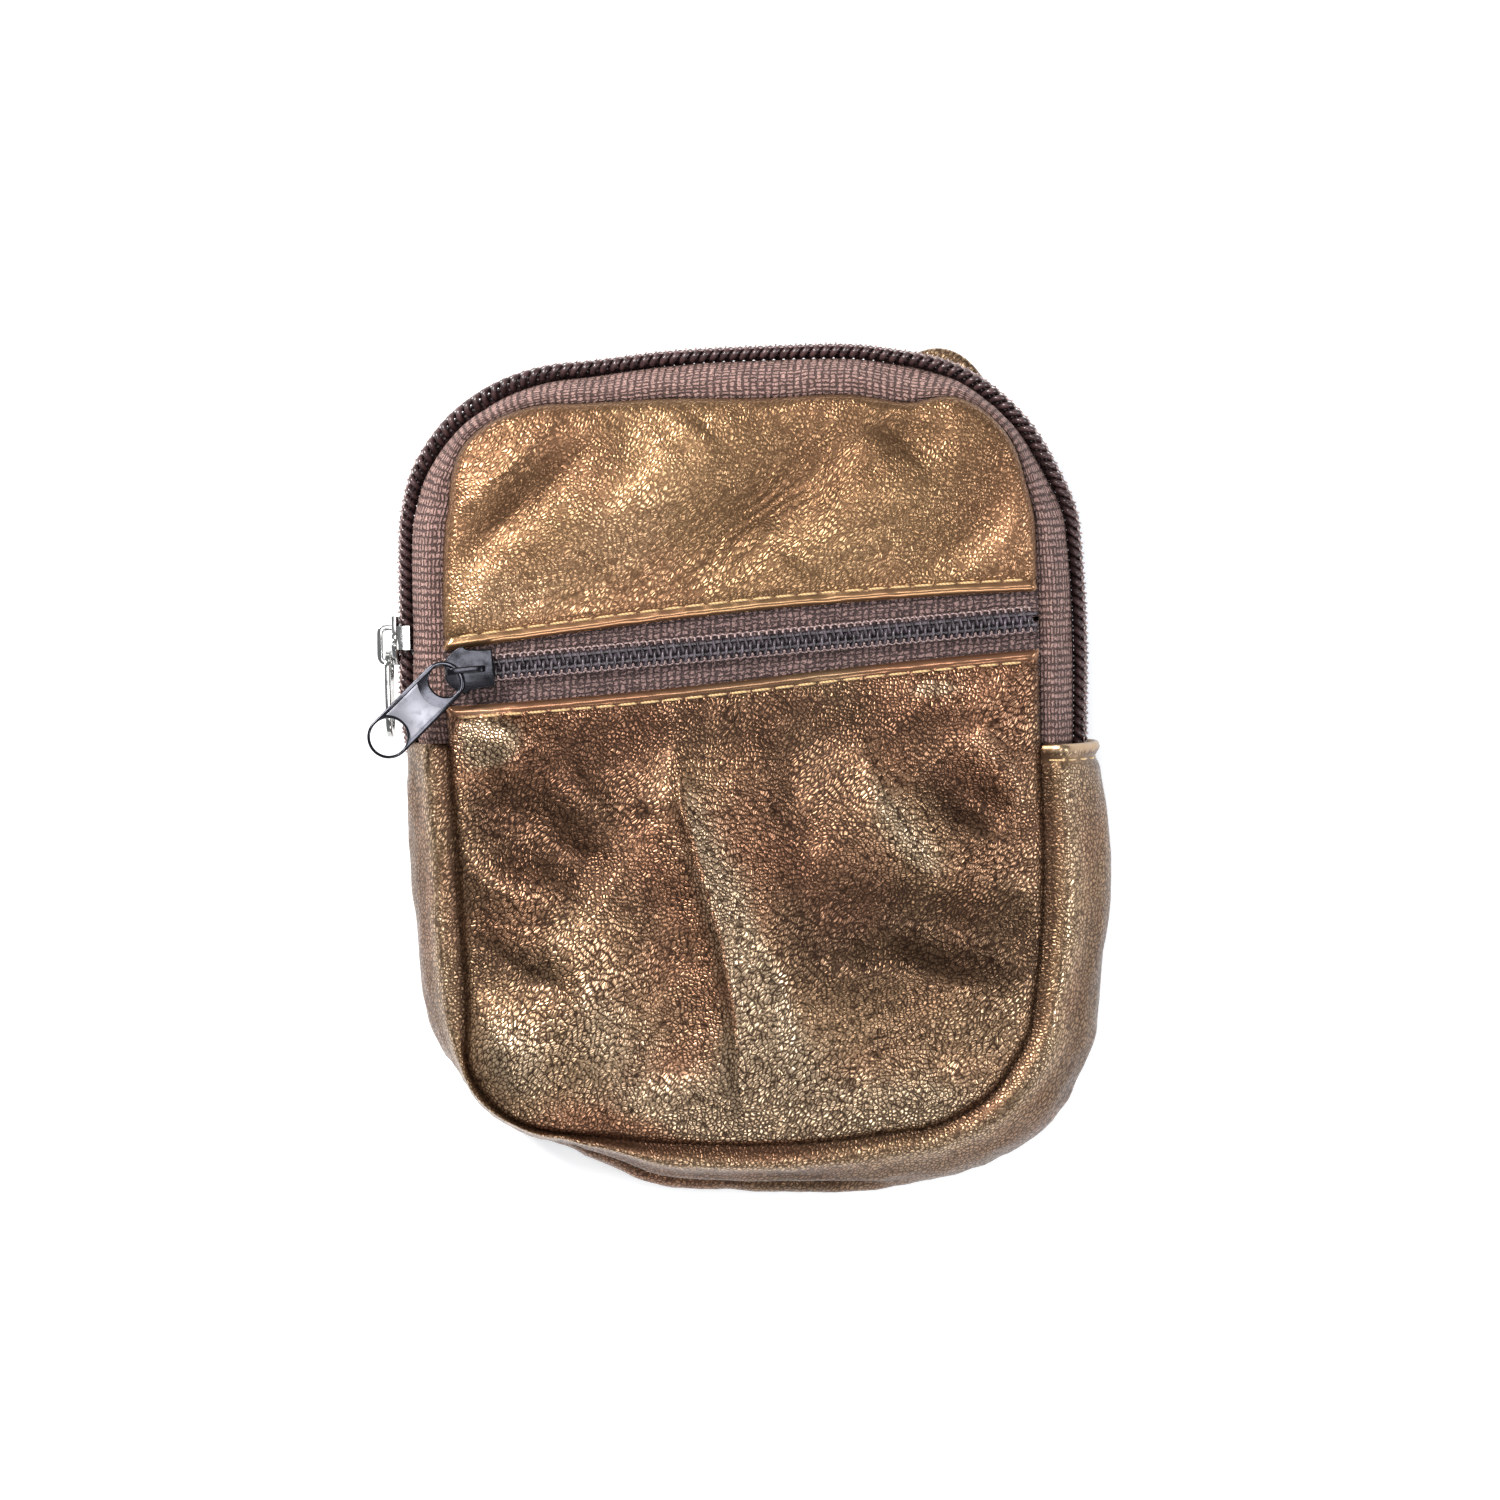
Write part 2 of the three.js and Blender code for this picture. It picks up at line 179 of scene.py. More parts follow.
def joined_tubes(name, tubes):
    """Several closed tubes as one object."""
    points, faces, start = [], [], 0
    for ring, some in tubes:
        points.append(ring)
        faces += [tuple(start + i for i in face) for face in some]
        start += len(ring)
    return build(name, np.vstack(points), faces)


# ---------------------------------------------------------------- the seam line and the wall
def smooth_step(x):
    x = np.clip(x, 0, 1)
    return x * x * (3 - 2 * x)


def round_keys(t, keys, period=8.0):
    """A smooth closed curve of values through (t, value) keys."""
    places = np.array([k[0] for k in keys])
    values = np.array([k[1] for k in keys], float)
    places = np.concatenate([places[-2:] - period, places, places[:2] + period])
    values = np.concatenate([values[-2:], values, values[:2]])
    slopes = np.gradient(values, places)
    t = np.mod(t, period)
    i = np.clip(np.searchsorted(places, t, side="right") - 1, 0, len(places) - 2)
    span = places[i + 1] - places[i]
    f = (t - places[i]) / span
    return (
        values[i] * (2 * f**3 - 3 * f**2 + 1) + slopes[i] * span * (f**3 - 2 * f**2 + f)
        + values[i + 1] * (3 * f**2 - 2 * f**3) + slopes[i + 1] * span * (f**3 - f**2)
    )


def seam(t):
    """Place and outward direction on the seam. t counts the sides (0, 2, 4, 6) and the corners (1, 3, 5, 7)
    clockwise, from the bottom of the left side."""
    t = np.mod(np.asarray(t, float), 8)
    leg = t.astype(int)
    f = t - leg
    x, y, r = SEAM_HALF_WIDTH, SEAM_HALF_HEIGHT, SEAM_RADIUS
    start = math.pi - (leg // 2) * math.pi / 2
    angle = np.where(leg % 2 == 1, start - f * math.pi / 2, start)
    out = np.stack([np.cos(angle), np.sin(angle)], -1)
    corner = leg % 2 == 1
    side_x = np.select([leg == 0, leg == 2, leg == 4, leg == 6],
                       [-x, (2 * f - 1) * (x - r), x, (1 - 2 * f) * (x - r)], 0.0)
    side_y = np.select([leg == 0, leg == 2, leg == 4, leg == 6],
                       [(2 * f - 1) * (y - r), y, (1 - 2 * f) * (y - r), -y], 0.0)
    centre_x = np.select([leg == 1, leg == 3, leg == 5, leg == 7], [r - x, x - r, x - r, r - x], 0.0)
    centre_y = np.select([leg == 1, leg == 3, leg == 5, leg == 7], [y - r, y - r, r - y, r - y], 0.0)
    place = np.stack([
        np.where(corner, centre_x + r * out[..., 0], side_x),
        np.where(corner, centre_y + r * out[..., 1], side_y),
    ], -1)
    return place, out


def side_t(y, right):
    """Where the seam reaches a height y on its left or its right side."""
    run = 2 * (SEAM_HALF_HEIGHT - SEAM_RADIUS)
    up = (y + SEAM_HALF_HEIGHT - SEAM_RADIUS) / run
    return 4 + 1 - up if right else up


def even_t(start, end, step):
    """Values of t that are about `step` millimetres apart along the seam."""
    fine = np.linspace(start, end, 2000)
    place, _ = seam(fine)
    length = run_along(place)
    count = int(length[-1] / step) + 1
    wanted = np.linspace(0, length[-1], count)
    return np.interp(wanted, length, fine), wanted


# How far each part of the front seam stands outside or inside the plain rounded outline.
FRONT_PUSH = [
    (0.05, -2.1), (0.19, -1.6), (0.42, -0.8), (0.57, -0.2), (0.95, -0.2), (1.06, -0.9), (1.25, -0.2),
    (1.42, 0.5), (1.6, 0.0), (1.8, -0.6), (2.0, -0.9), (2.3, -0.1), (2.6, 0.0), (2.85, 0.5),
    (3.02, -0.7), (3.25, 1.8), (3.5, 1.8), (3.8, 0.2), (4.07, 0.5), (4.45, 0.5), (4.65, 0.7),
    (4.85, -0.2), (5.0, -2.0), (5.2, -3.7), (5.5, -4.5), (5.75, -4.6), (6.0, -3.6), (6.35, -1.4),
    (6.6, -1.1), (6.8, -1.6), (7.0, -2.7), (7.5, -1.3), (7.75, -1.1),
]
# How far the wall bows out past the seam, where it is zip and where it is leather.
ZIP_BOW = [
    (0.45, 4.9), (0.53, 5.3), (0.58, 5.9), (0.8, 5.9), (1.0, 5.9), (1.12, 5.3), (1.4, 3.1), (1.7, 2.6),
    (2.0, 3.3), (2.3, 5.0), (2.7, 5.9), (3.0, 5.2), (3.3, 2.3), (3.5, 1.7), (3.75, 2.4), (4.0, 4.3),
    (4.25, 5.1), (4.4, 4.8), (4.5, 4.6), (6.5, 4.6),
]
LEATHER_BOW = [
    (0.05, 6.8), (0.22, 7.8), (0.5, 7.9), (1.5, 8.0), (3.5, 8.0), (4.42, 8.4), (4.73, 9.9), (5.0, 8.6),
    (5.15, 8.0), (5.5, 7.1), (5.89, 6.5), (6.22, 7.9), (6.54, 7.2), (6.81, 6.1), (6.96, 3.4),
    (7.37, 1.4), (7.59, 2.6), (7.79, 2.6), (7.88, 3.9),
]
# How far the coil is turned towards the back, in degrees.
COIL_TURN = [
    (0.5, 0), (0.8, 0), (1.0, 0), (1.2, 18), (1.5, 42), (1.9, 30), (2.3, 12), (2.8, 10), (3.3, 26),
    (3.6, 26), (4.0, 12), (4.4, 5), (6.5, 0),
]


def front_push(t):
    return round_keys(t, FRONT_PUSH)


def lean(points):
    """The shear that the CAD gives every soft piece."""
    moved = np.array(points, float)
    moved[..., 0] += SIDE_LEAN * points[..., 1] + FRONT_SHIFT[0] / EDGE_DEPTH * points[..., 2]
    moved[..., 1] += FRONT_SHIFT[1] / EDGE_DEPTH * points[..., 2]
    return moved


def wall_point(t, degrees, bow, inset=0.0, extra=0.0, puff=0.0):
    """A point of the wall: t round the seam, and degrees from its middle line towards the front (90)."""
    t, degrees = np.broadcast_arrays(np.asarray(t, float), np.asarray(degrees, float))
    place, out = seam(t)
    turn = np.radians(degrees)
    share = (np.sin(turn) + 1) / 2
    reach = (bow - inset) * np.cos(turn) + extra + share * front_push(t)
    height = WALL_MID + (WALL_HALF - WALL_CLEAR - inset) * np.sin(turn) + puff
    flat = place + out * reach[..., None]
    return lean(np.concatenate([flat, height[..., None]], -1))


def fractal(points, size, seed):
    """Soft noise of about -1 to 1, with lumps of `size` millimetres."""
    shift = Vector((seed * 13.7, seed * 7.1, seed * 3.3))
    flat = points.reshape(-1, 3) / size
    values = [noise.fractal(Vector(p) + shift, 1.0, 2.0, 3) for p in flat]
    return np.array(values).reshape(points.shape[:-1])


# ---------------------------------------------------------------- joints, as the frame holds them
JOINTS = {j["name"]: j for j in frame["record"]["behaviour"]["joints"]}


def slider_frame(slide, hinge, plate_top, out=None):
    """Origin and axes of a slider: along its zip, across it, and out from the tape."""
    along = np.array(JOINTS[slide]["axis"])
    if out is None:
        out = np.cross(along, np.array(JOINTS[hinge]["axis"]))
    out = out / np.linalg.norm(out)
    across = np.cross(out, along)
    bar = np.array(JOINTS[hinge]["pos_m"]) / MM
    origin = bar - along * BAR_AT - out * (plate_top + BAR_HEIGHT)
    return origin, along, across, out


POCKET_PLATE_TOP = 3.1
MAIN_PLATE_TOP = 3.3
POCKET = slider_frame("pocket_slider_run", "pocket_pull_lift", POCKET_PLATE_TOP, np.array([0, 0, 1.0]))
MAIN = slider_frame("main_slider_run", "main_pull_swing", MAIN_PLATE_TOP)
CHAIN_SLOPE = POCKET[1][1] / POCKET[1][0]


def chain_y(x):
    """Height of the pocket zip's chain line."""
    return POCKET[0][1] + (x - POCKET[0][0]) * CHAIN_SLOPE


def upper_lip_y(x):
    """The upper lip, which bends down towards both ends of the zip."""
    left = np.clip((4 - x) / 54, 0, 1)
    right = np.clip((x - 4) / 40, 0, 1)
    return chain_y(x) + UPPER_LIP_RISE - 2.0 * left**1.6 - 0.9 * right**2


def lower_lip_y(x):
    """The lower lip, which waves a little and comes closer to the chain on the right."""
    return chain_y(x) - LOWER_LIP_DROP + 0.35 * np.sin(x / 16.0) + 0.5 * np.clip(x / 44, 0, 1)


# ---------------------------------------------------------------- front panels
def seam_loop(inset=0.0):
    """The front seam as a closed line in the XY plane."""
    t = np.linspace(0, 8, 1600, endpoint=False)
    place, out = seam(t)
    place = place + out * (front_push(t) - inset)[:, None]
    return lean(np.column_stack([place, np.full(len(t), EDGE_DEPTH)]))[:, :2]


def panel_outline(lip, keep_above, count):
    """The closed outline of a panel: the seam on one side of the pocket's lip, and the lip itself."""
    loop = seam_loop()
    above = loop[:, 1] > lip(loop[:, 0])
    kept = above if keep_above else ~above
    first = np.flatnonzero(kept & ~np.roll(kept, 1))[0]
    run = np.roll(loop, -first, axis=0)[: kept.sum()]
    x = np.linspace(run[-1, 0], run[0, 0], 240)[1:-1]
    closed = np.vstack([run, np.column_stack([x, lip(x)])])
    ring = np.vstack([closed, closed[:1]])
    length = run_along(ring)
    return at_places(np.linspace(0, length[-1], count, endpoint=False), length, ring)


def nearest(points, line):
    """Distance from each point to the closest of the line's points."""
    result = np.empty(len(points))
    for start in range(0, len(points), 4000):
        some = points[start:start + 4000]
        result[start:start + 4000] = np.sqrt(((some[:, None] - line[None]) ** 2).sum(-1)).min(1)
    return result


def fold(x, y, line, height, left, right, sharp=False):
    """A ridge (or a valley, below 0) along a line of points, `left` and `right` wide on its two sides."""
    line = np.array(line, float)
    steps = np.linalg.norm(np.diff(line, axis=0), axis=1)
    reach = np.concatenate([[0], np.cumsum(steps)])
    best = np.full(x.shape, 1e9)
    side = np.zeros(x.shape)
    place = np.zeros(x.shape)
    for a, b, length, before in zip(line, line[1:], steps, reach):
        step = (b - a) / length
        along = np.clip((x - a[0]) * step[0] + (y - a[1]) * step[1], 0, length)
        dx, dy = x - a[0] - along * step[0], y - a[1] - along * step[1]
        far = np.hypot(dx, dy)
        closer = far < best
        best = np.where(closer, far, best)
        side = np.where(closer, step[0] * dy - step[1] * dx, side)
        place = np.where(closer, before + along, place)
    width = np.where(side > 0, left, right)
    shape = np.exp(-best / width) if sharp else np.exp(-(best / width) ** 2)
    taper = np.sin(math.pi * np.clip(place / reach[-1], 0.0, 1.0)) ** 0.6
    return height * shape * (0.15 + 0.85 * taper)


LOWER_FOLDS = [
    # the long ridge down the middle, steep on its right
    ([(-13, 3), (-12, -6), (-9, -16), (-5.5, -28), (-3.5, -40), (-2, -57)], 3.2, 7.0, 1.4, True),
    ([(-2, -14), (0.5, -26), (3.5, -38), (3, -55)], 1.0, 3.0, 5.0, False),
    ([(-19, -6), (-16, -20), (-13, -36), (-11, -54)], -1.2, 5.0, 4.5, False),
    # upper left: a bright corner and the hollow below it
    ([(-40, 8), (-39, 1), (-39.5, -6)], 1.5, 3.2, 3.0, False),
    ([(-48, 6), (-40, 5), (-31, 4)], 1.3, 3.5, 3.5, False),
    ([(-45, -2), (-38, -7), (-30, -13), (-22, -18)], -3.0, 6.0, 7.0, False),
    ([(-28, 4), (-23, -3), (-19, -11)], -1.3, 4.0, 4.0, False),
    ([(-47, -17), (-38, -20), (-29, -21)], 1.0, 4.0, 3.0, False),
    # the crease from the left seam and the swell in the lower left corner
    ([(-47, -27), (-42, -29), (-36, -33), (-30, -35)], -1.3, 2.4, 3.0, True),
    ([(-46, -38), (-41, -43), (-35, -52)], 1.4, 4.0, 4.0, False),
    ([(-30, -26), (-26, -38), (-22, -52)], 1.1, 4.0, 5.0, False),
    # right of the middle
    ([(16, 6), (19, -3), (24, -12), (31, -20)], 1.4, 3.0, 3.6, True),
    ([(28, 1), (33, -5), (40, -8)], -1.9, 3.6, 3.6, False),
    ([(21, 9), (32, 9.5), (43, 12)], 1.1, 2.5, 3.0, True),
    ([(35, 6), (40, 0), (42, -9)], 1.2, 3.0, 3.0, False),
    ([(6, 6), (6, -8), (9, -20)], -1.0, 4.0, 4.5, False),
    # the deep hollow that runs in from the right seam
    ([(46, -29), (38, -27), (30, -25.5), (21, -24), (12, -24)], -2.5, 6.0, 6.2, False),
    ([(44, -19), (36, -18), (27, -14)], 0.9, 3.6, 3.2, False),
    ([(44, -38), (33, -36), (22, -32), (11, -33)], 1.3, 3.2, 4.0, False),
    ([(36, -47), (26, -44), (13, -47)], -1.0, 3.6, 3.6, False),
    ([(37, -50), (28, -53), (14, -56)], 0.8, 3.0, 3.0, False),
    ([(-24, -56), (-12, -51), (-4, -50)], 0.7, 3.0, 3.0, False),
]
LOWER_CREASES = [
    ((-4, -33), 78, 26, 9, 2.4, 0.16), ((31, -15), 14, 22, 7, 2.4, 0.1),
    ((-20, -44), 66, 22, 9, 2.5, 0.14),
]
# Painted shade (below 0) and painted highlight (above 0) on the foil, where the folds fall dark or catch the
# light: place, size along and across, direction, amount.
LOWER_PAINTED_LIGHT_AND_SHADE = [
    ((-33, -6), 12, 8, -35, -0.4), ((7, -9), 14, 9, 85, -0.14), ((27, -27), 20, 7.5, -4, -0.8),
    ((35, -6), 7, 5, -20, -0.3), ((-2, 7), 32, 4.6, 5, -0.6), ((-43, -17), 5, 8, 0, -0.35),
    ((-2.4, -30), 17, 3.2, -67, 0.6), ((0, -48), 11, 4.5, -82, 0.2), ((23, -9), 12, 3.4, -58, 0.4),
    ((28, 12.5), 6, 2, 5, 0.5), ((30, 7.5), 12, 2.2, 8, -0.3), ((-43, 4), 4.5, 6, 0, 0.9),
    ((-37, -44), 10, 7, 50, 0.15), ((-17, -33), 14, 8, -75, 0.2), ((38, 8), 7, 3.5, 10, 0.25),
    ((-24, -13), 8, 5, 0, 0.3), ((9, -24), 6, 9, 0, -0.35), ((14, -34), 7, 6, 0, -0.25),
    ((6, -56), 32, 5, 0, 0.7), ((0, -47), 48, 9, 0, 0.26), ((-36, -31), 6, 4, -20, -0.2),
    ((14, -1), 6, 6, 0, -0.25), ((-22, -58), 9, 4, 0, -0.5), ((-12, 0), 9, 5, 0, -0.05),
    ((30, -43), 13, 5, 0, 0.2),
]
# Crisp lines of painted shade beside the sharpest folds: points, how much darker, and width to the left and
# right.
LOWER_LINES = [
    ([(-12.7, 3), (-11.7, -6), (-8.7, -16), (-5.2, -28), (-3.2, -40), (-1.7, -57)], -1.0, 0.35, 0.8),
    ([(-47, -29), (-42, -31), (-36, -34)], -0.4, 0.6, 0.8),
    ([(19, 3), (22, -5), (27, -13)], -0.2, 0.6, 1.2),
]
UPPER_FOLDS = [
    ([(-50, 38), (-43, 44), (-37, 50), (-31, 56)], 1.1, 3.0, 2.0, True),
    ([(-47, 33), (-38, 41), (-28, 50)], -1.1, 3.0, 3.0, False),
    ([(-47, 21), (-43, 26), (-41, 33)], 0.9, 3.0, 3.0, False),
    ([(-14, 28), (-4, 37), (6, 45), (15, 52)], -1.1, 6.0, 6.0, False),
    ([(-27, 33), (-17, 43), (-7, 53)], 0.9, 7.0, 6.0, False),
    ([(7, 30), (17, 39), (27, 47)], 1.1, 6.0, 6.0, False),
    ([(24, 32), (33, 37), (42, 46)], -1.1, 4.0, 4.5, False),
    ([(34, 30), (40, 36), (43, 44)], 0.7, 3.0, 3.0, False),
    ([(18, 57), (25, 52), (32, 52)], -0.8, 3.0, 3.0, False),
]
UPPER_CREASES = [
    ((-40, 46), 44, 22, 11, 2.3, 0.26), ((-2, 41), 40, 36, 13, 1.9, 0.13),
    ((-36, 28), 30, 16, 9, 2.4, 0.14), ((33, 38), 52, 20, 12, 2.1, 0.13),
    ((27, 50), -20, 16, 8, 2.1, 0.14),
]
# Painted shade (below 0) and painted highlight (above 0) on the upper panel's foil, laid out as for the lower
# panel.
UPPER_PAINTED_LIGHT_AND_SHADE = [
    ((-45, 36), 16, 3.5, 85, 0.2), ((-2, 41), 17, 4.5, 40, -0.1), ((-38, 42), 10, 3, 44, -0.3),
    ((36, 48), 8, 5, -40, -0.15), ((-38, 27), 11, 5, 10, 0.35), ((20, 33), 16, 5, 5, 0.1),
    ((-20, 35), 16, 8, 10, 0.3), ((40, 38), 5, 8, 0, 0.1), ((-42, 50), 6, 5, 45, -0.5),
    ((14, 45), 10, 7, 30, -0.35), ((-24, 50), 8, 5, 0, -0.15),
]
# Lines of painted shade beside the upper panel's sharpest folds.
UPPER_LINES = [
    ([(-47, 35), (-40, 42), (-31, 50)], -0.3, 0.7, 1.0),
    ([(-10, 31), (2, 41), (13, 49)], -0.2, 0.8, 1.0),
]


def turned_from(x, y, centre, degrees):
    """Places along and across a direction, from a centre."""
    turn = math.radians(degrees)
    along = (x - centre[0]) * math.cos(turn) + (y - centre[1]) * math.sin(turn)
    across = (y - centre[1]) * math.cos(turn) - (x - centre[0]) * math.sin(turn)
    return along, across


def painted_shade_patch(x, y, centre, length, width, degrees, amount):
    """A soft oval patch of painted light on the foil: a highlight for a positive amount, shade for a negative
    one.
    """
    u, v = turned_from(x, y, centre, degrees)
    return amount * np.exp(-((u / length) ** 2) - (v / width) ** 2)


def crease_bundle(x, y, centre, degrees, length, width, spacing, depth):
    """Fine creases side by side, `length` along their direction and `width` across it."""
    u, v = turned_from(x, y, centre, degrees)
    wander = 0.4 * spacing * (np.sin(u / 3.3 + v / 2.1) + 0.5 * np.sin(u / 1.7 - v / 3.0))
    wave = (1 + np.cos(2 * math.pi * (v + wander) / spacing)) / 2
    envelope = np.exp(-((2 * u / length) ** 2) - (2 * v / width) ** 2)
    return -depth * envelope * wave


def roll_down(distance, radius):
    """How far a folded edge has turned down at a distance in from it."""
    inside = np.clip(1 - distance / radius, 0, 1)
    return radius * (1 - np.sqrt(1 - inside**2))


def panel_height(points, edge, lip, folds, creases, scuffs_and_painted_light, lines, crown, seed):
    """Height of a panel's face over the plane of its edges; also its tone of painted light and shade, and
    where it has no grain.
    """
    x, y = points[:, 0], points[:, 1]
    distance = nearest(points, edge)
    from_lip = np.abs(y - lip(x))
    pillow = crown * (1 - np.exp(-(distance / 11) ** 1.15)) * (0.2 + 0.8 * smooth_step(from_lip / 24))
    near_edge = smooth_step(distance / 5)
    shaped = sum(fold(x, y, *entry) for entry in folds)
    shaped = shaped + sum(crease_bundle(x, y, *entry) for entry in creases)
    flat = np.column_stack([x, y, np.zeros(len(x))])
    lumps = 0.55 * fractal(flat, 17, seed) + 0.16 * fractal(flat, 6, seed + 1)
    pucker = 0.22 * fractal(flat, 3.2, seed + 2) * np.exp(-distance / 3.5)
    lip_press = -0.45 * np.exp(-((from_lip - LIP_STITCH_IN) / 0.55) ** 2)
    turned = roll_down(distance, np.where(from_lip < distance + 0.4, 1.1, 1.9))
    rise = pillow + near_edge * (shaped + lumps) + pucker * smooth_step(distance / 1.2) + lip_press
    groove = np.exp(-((from_lip - LIP_STITCH_IN) / 0.3) ** 2)
    painted_light_and_shade = sum(painted_shade_patch(x, y, *entry) for entry in scuffs_and_painted_light)
    painted_light_and_shade = painted_light_and_shade + sum(fold(x, y, *entry, True) for entry in lines)
    # Painted light and shade: brighter on the folds' ridges and lumps, darker in their hollows, plus the
    # painted patches and lines.
    tone = np.clip(0.5 + painted_light_and_shade + 0.2 * near_edge * shaped + 0.06 * lumps, 0.0, 1.0)
    at_lip = smooth_step((distance + 0.8 - from_lip) / 0.4)
    # Painted shade in the stitch groove and on the edge that rolls down into the seam.
    tone *= (1 - 0.5 * groove) * (0.25 + 0.75 * np.maximum(smooth_step(distance / 1.1), at_lip))
    # Painted shade on the narrow strip just in from the lip's folded edge.
    tone *= 1 - 0.16 * at_lip * np.exp(-((from_lip - 0.7) / 0.7) ** 2)
    plain = 1 - smooth_step((from_lip - LIP_STITCH_IN + 0.5) / 0.7)
    return rise - turned, tone, plain


NEAR_EDGE = [0, 0.1, 0.3, 0.6, 0.9, 1.25, 1.7, 2.2, 2.8, 3.5, 4.3, 5.2]


def panel(name, lip, keep_above, folds, creases, scuffs_and_painted_light, lines, crown, seed):
    """A leather panel: rings of points from its edge in to its middle, above and below."""
    edge = panel_outline(lip, keep_above, 520)
    middle = (edge.min(0) + edge.max(0)) / 2
    inward = middle - edge
    reach = np.linalg.norm(inward, axis=1)
    inner_rings = 62
    rings = []
    for step in NEAR_EDGE:
        rings.append(edge + inward * (step / reach)[:, None])
    for i in range(1, inner_rings):
        share = (NEAR_EDGE[-1] + (reach - NEAR_EDGE[-1]) * i / inner_rings) / reach
        rings.append(edge + inward * share[:, None])
    flat = np.vstack([*rings, middle[None]])
    fine_edge = panel_outline(lip, keep_above, 1400)
    rise, tone, plain = panel_height(flat, fine_edge, lip, folds, creases, scuffs_and_painted_light, lines, crown, seed)
    top = np.column_stack([flat, FRONT_TOP + rise])
    count, around = len(flat), len(edge)
    under = top[around:].copy()
    thickness = LEATHER * smooth_step(nearest(under[:, :2], fine_edge) / 1.2) * 0.9 + 0.05
    under[:, 2] -= thickness
    faces = []
    for flip in (False, True):
        def index(ring, i):
            if flip and ring > 0:
                return count + (ring - 1) * around + i % around
            return ring * around + i % around
        for ring in range(len(rings) - 1):
            for i in range(around):
                quad = (index(ring, i), index(ring, i + 1), index(ring + 1, i + 1), index(ring + 1, i))
                faces.append(quad[::-1] if flip else quad)
        centre = len(top) + len(under) - 1 if flip else count - 1
        last = len(rings) - 1
        for i in range(around):
            tri = (index(last, i), index(last, i + 1), centre)
            faces.append(tri[::-1] if flip else tri)
    marks = {"tone": np.concatenate([tone, tone[around:]]), "plain": np.concatenate([plain, plain[around:]])}
    return build(name, np.vstack([top, under]), faces, None, marks)


# ---------------------------------------------------------------- wall pieces
def wall_strip(name, t, length, degrees, bow, thickness, inset=0.0, shape=None, taper_ends=False, shade=None):
    """A strip of the wall as a closed sheet. `shape` gives extra reach and lift from (t, degrees)."""
    tt, dd = np.meshgrid(t, degrees, indexing="ij")
    extra, puff = (0.0, 0.0) if shape is None else shape(tt, dd)
    bowed = bow(tt)
    outer = wall_point(tt, dd, bowed, inset, extra, puff)
    inner = wall_point(tt, dd, bowed, inset + thickness, extra, puff)
    if taper_ends:
        middle = (outer + inner) / 2
        for row, share in ((0, 0.25), (1, 0.75), (-2, 0.75), (-1, 0.25)):
            outer[row] = middle[row] + (outer[row] - middle[row]) * share
            inner[row] = middle[row] + (inner[row] - middle[row]) * share
    across = np.radians(dd) * (WALL_HALF + bowed) / 2
    uv = np.stack([np.broadcast_to(length[:, None], dd.shape), across], -1)
    return shell(name, outer, inner, uv, None if shade is None else shade(tt, dd))


def gusset_tone(t, degrees):
    """Tone of painted light and shade on the wall's foil: a painted highlight along the crest and on the
    rolled hem, brighter where the leather bulges, painted shade darkest in the seam's valley and in the sewn
    groove; and where it has no grain.
    """
    extra, _ = gusset_shape(t, degrees)
    seam_dark = smooth_step((degrees - 76) / 12)
    crest = 0.55 * np.exp(-((degrees - 62) / 14) ** 2)
    hem, groove = hem_zones(t)
    tone = np.clip(0.42 + crest + 0.28 * np.minimum(extra, 0.7) - 0.65 * seam_dark + 0.3 * hem, 0.05, 1.0)
    return tone * (1 - 0.6 * groove), np.maximum(hem, groove)


def hem_zones(t):
    """The rolled end of the wall's leather, and the sewn groove beside it, as amounts from 0 to 1."""
    ends = (side_t(ZIP_END_Y, True), side_t(ZIP_END_Y, False))
    seams = (side_t(ZIP_END_Y - HEM_STITCH_IN, True), side_t(ZIP_END_Y - HEM_STITCH_IN, False))
    hem = sum(np.exp(-((t - end) / 0.018) ** 4) for end in ends)
    groove = sum(np.exp(-((t - place) / 0.008) ** 2) for place in seams)
    return np.clip(hem, 0, 1), np.clip(groove, 0, 1)


def gusset_shape(t, degrees):
    """Folds of the leather wall: puffed beside the seam, creased under the bottom, hemmed at its ends."""
    lumps = fractal(np.stack([t * 60, degrees / 5, degrees * 0], -1), 15, 21)
    fine = fractal(np.stack([t * 60, degrees / 4, degrees * 0], -1), 3.2, 25)
    inner_zone = np.clip(np.cos(np.radians(degrees)), 0, 1) ** 0.7
    bottom = np.exp(-((t - BOTTOM_CREASE_T) / 0.44) ** 4)
    first = -0.9 * bottom * np.exp(-((degrees - 40) / 15) ** 2)
    crease = -4.0 * bottom * np.exp(-((degrees - 11) / 10) ** 2)
    second = 0.7 * bottom * np.exp(-((degrees + 22) / 15) ** 2)
    hem, groove = hem_zones(t)
    extra = inner_zone * (0.6 * lumps + 0.14 * fine + 0.7 * hem - 0.5 * groove) + first + crease + second
    crest = np.exp(-((degrees - 66) / 17) ** 2)
    return extra, crest * (2.1 + 0.2 * hem - 0.5 * groove + 0.3 * lumps + 0.1 * fine)


def tape_shape(t, degrees):
    """The zip tape ripples a little between its stitches and its coil."""
    ripple = fractal(np.stack([t * 40, degrees / 12, degrees * 0], -1), 5, 31)
    tucked = -0.7 * smooth_step((degrees - 66) / 18)
    ripple *= smooth_step((t - 1.0) / 0.2)
    return 0.28 * ripple * np.sin(np.radians(2 * np.clip(np.abs(degrees), 0, 90))), 0.25 * ripple + tucked


def leather_bow(t):
    return round_keys(t, LEATHER_BOW)


def zip_bow(t):
    return round_keys(t, ZIP_BOW)


def lining_bow(t):
    """The lining bows less than the leather, and stays clear of the deep crease under the bottom."""
    return np.minimum(leather_bow(t), 7.0) - 4.4 * np.exp(-((t - BOTTOM_CREASE_T) / 0.5) ** 4)


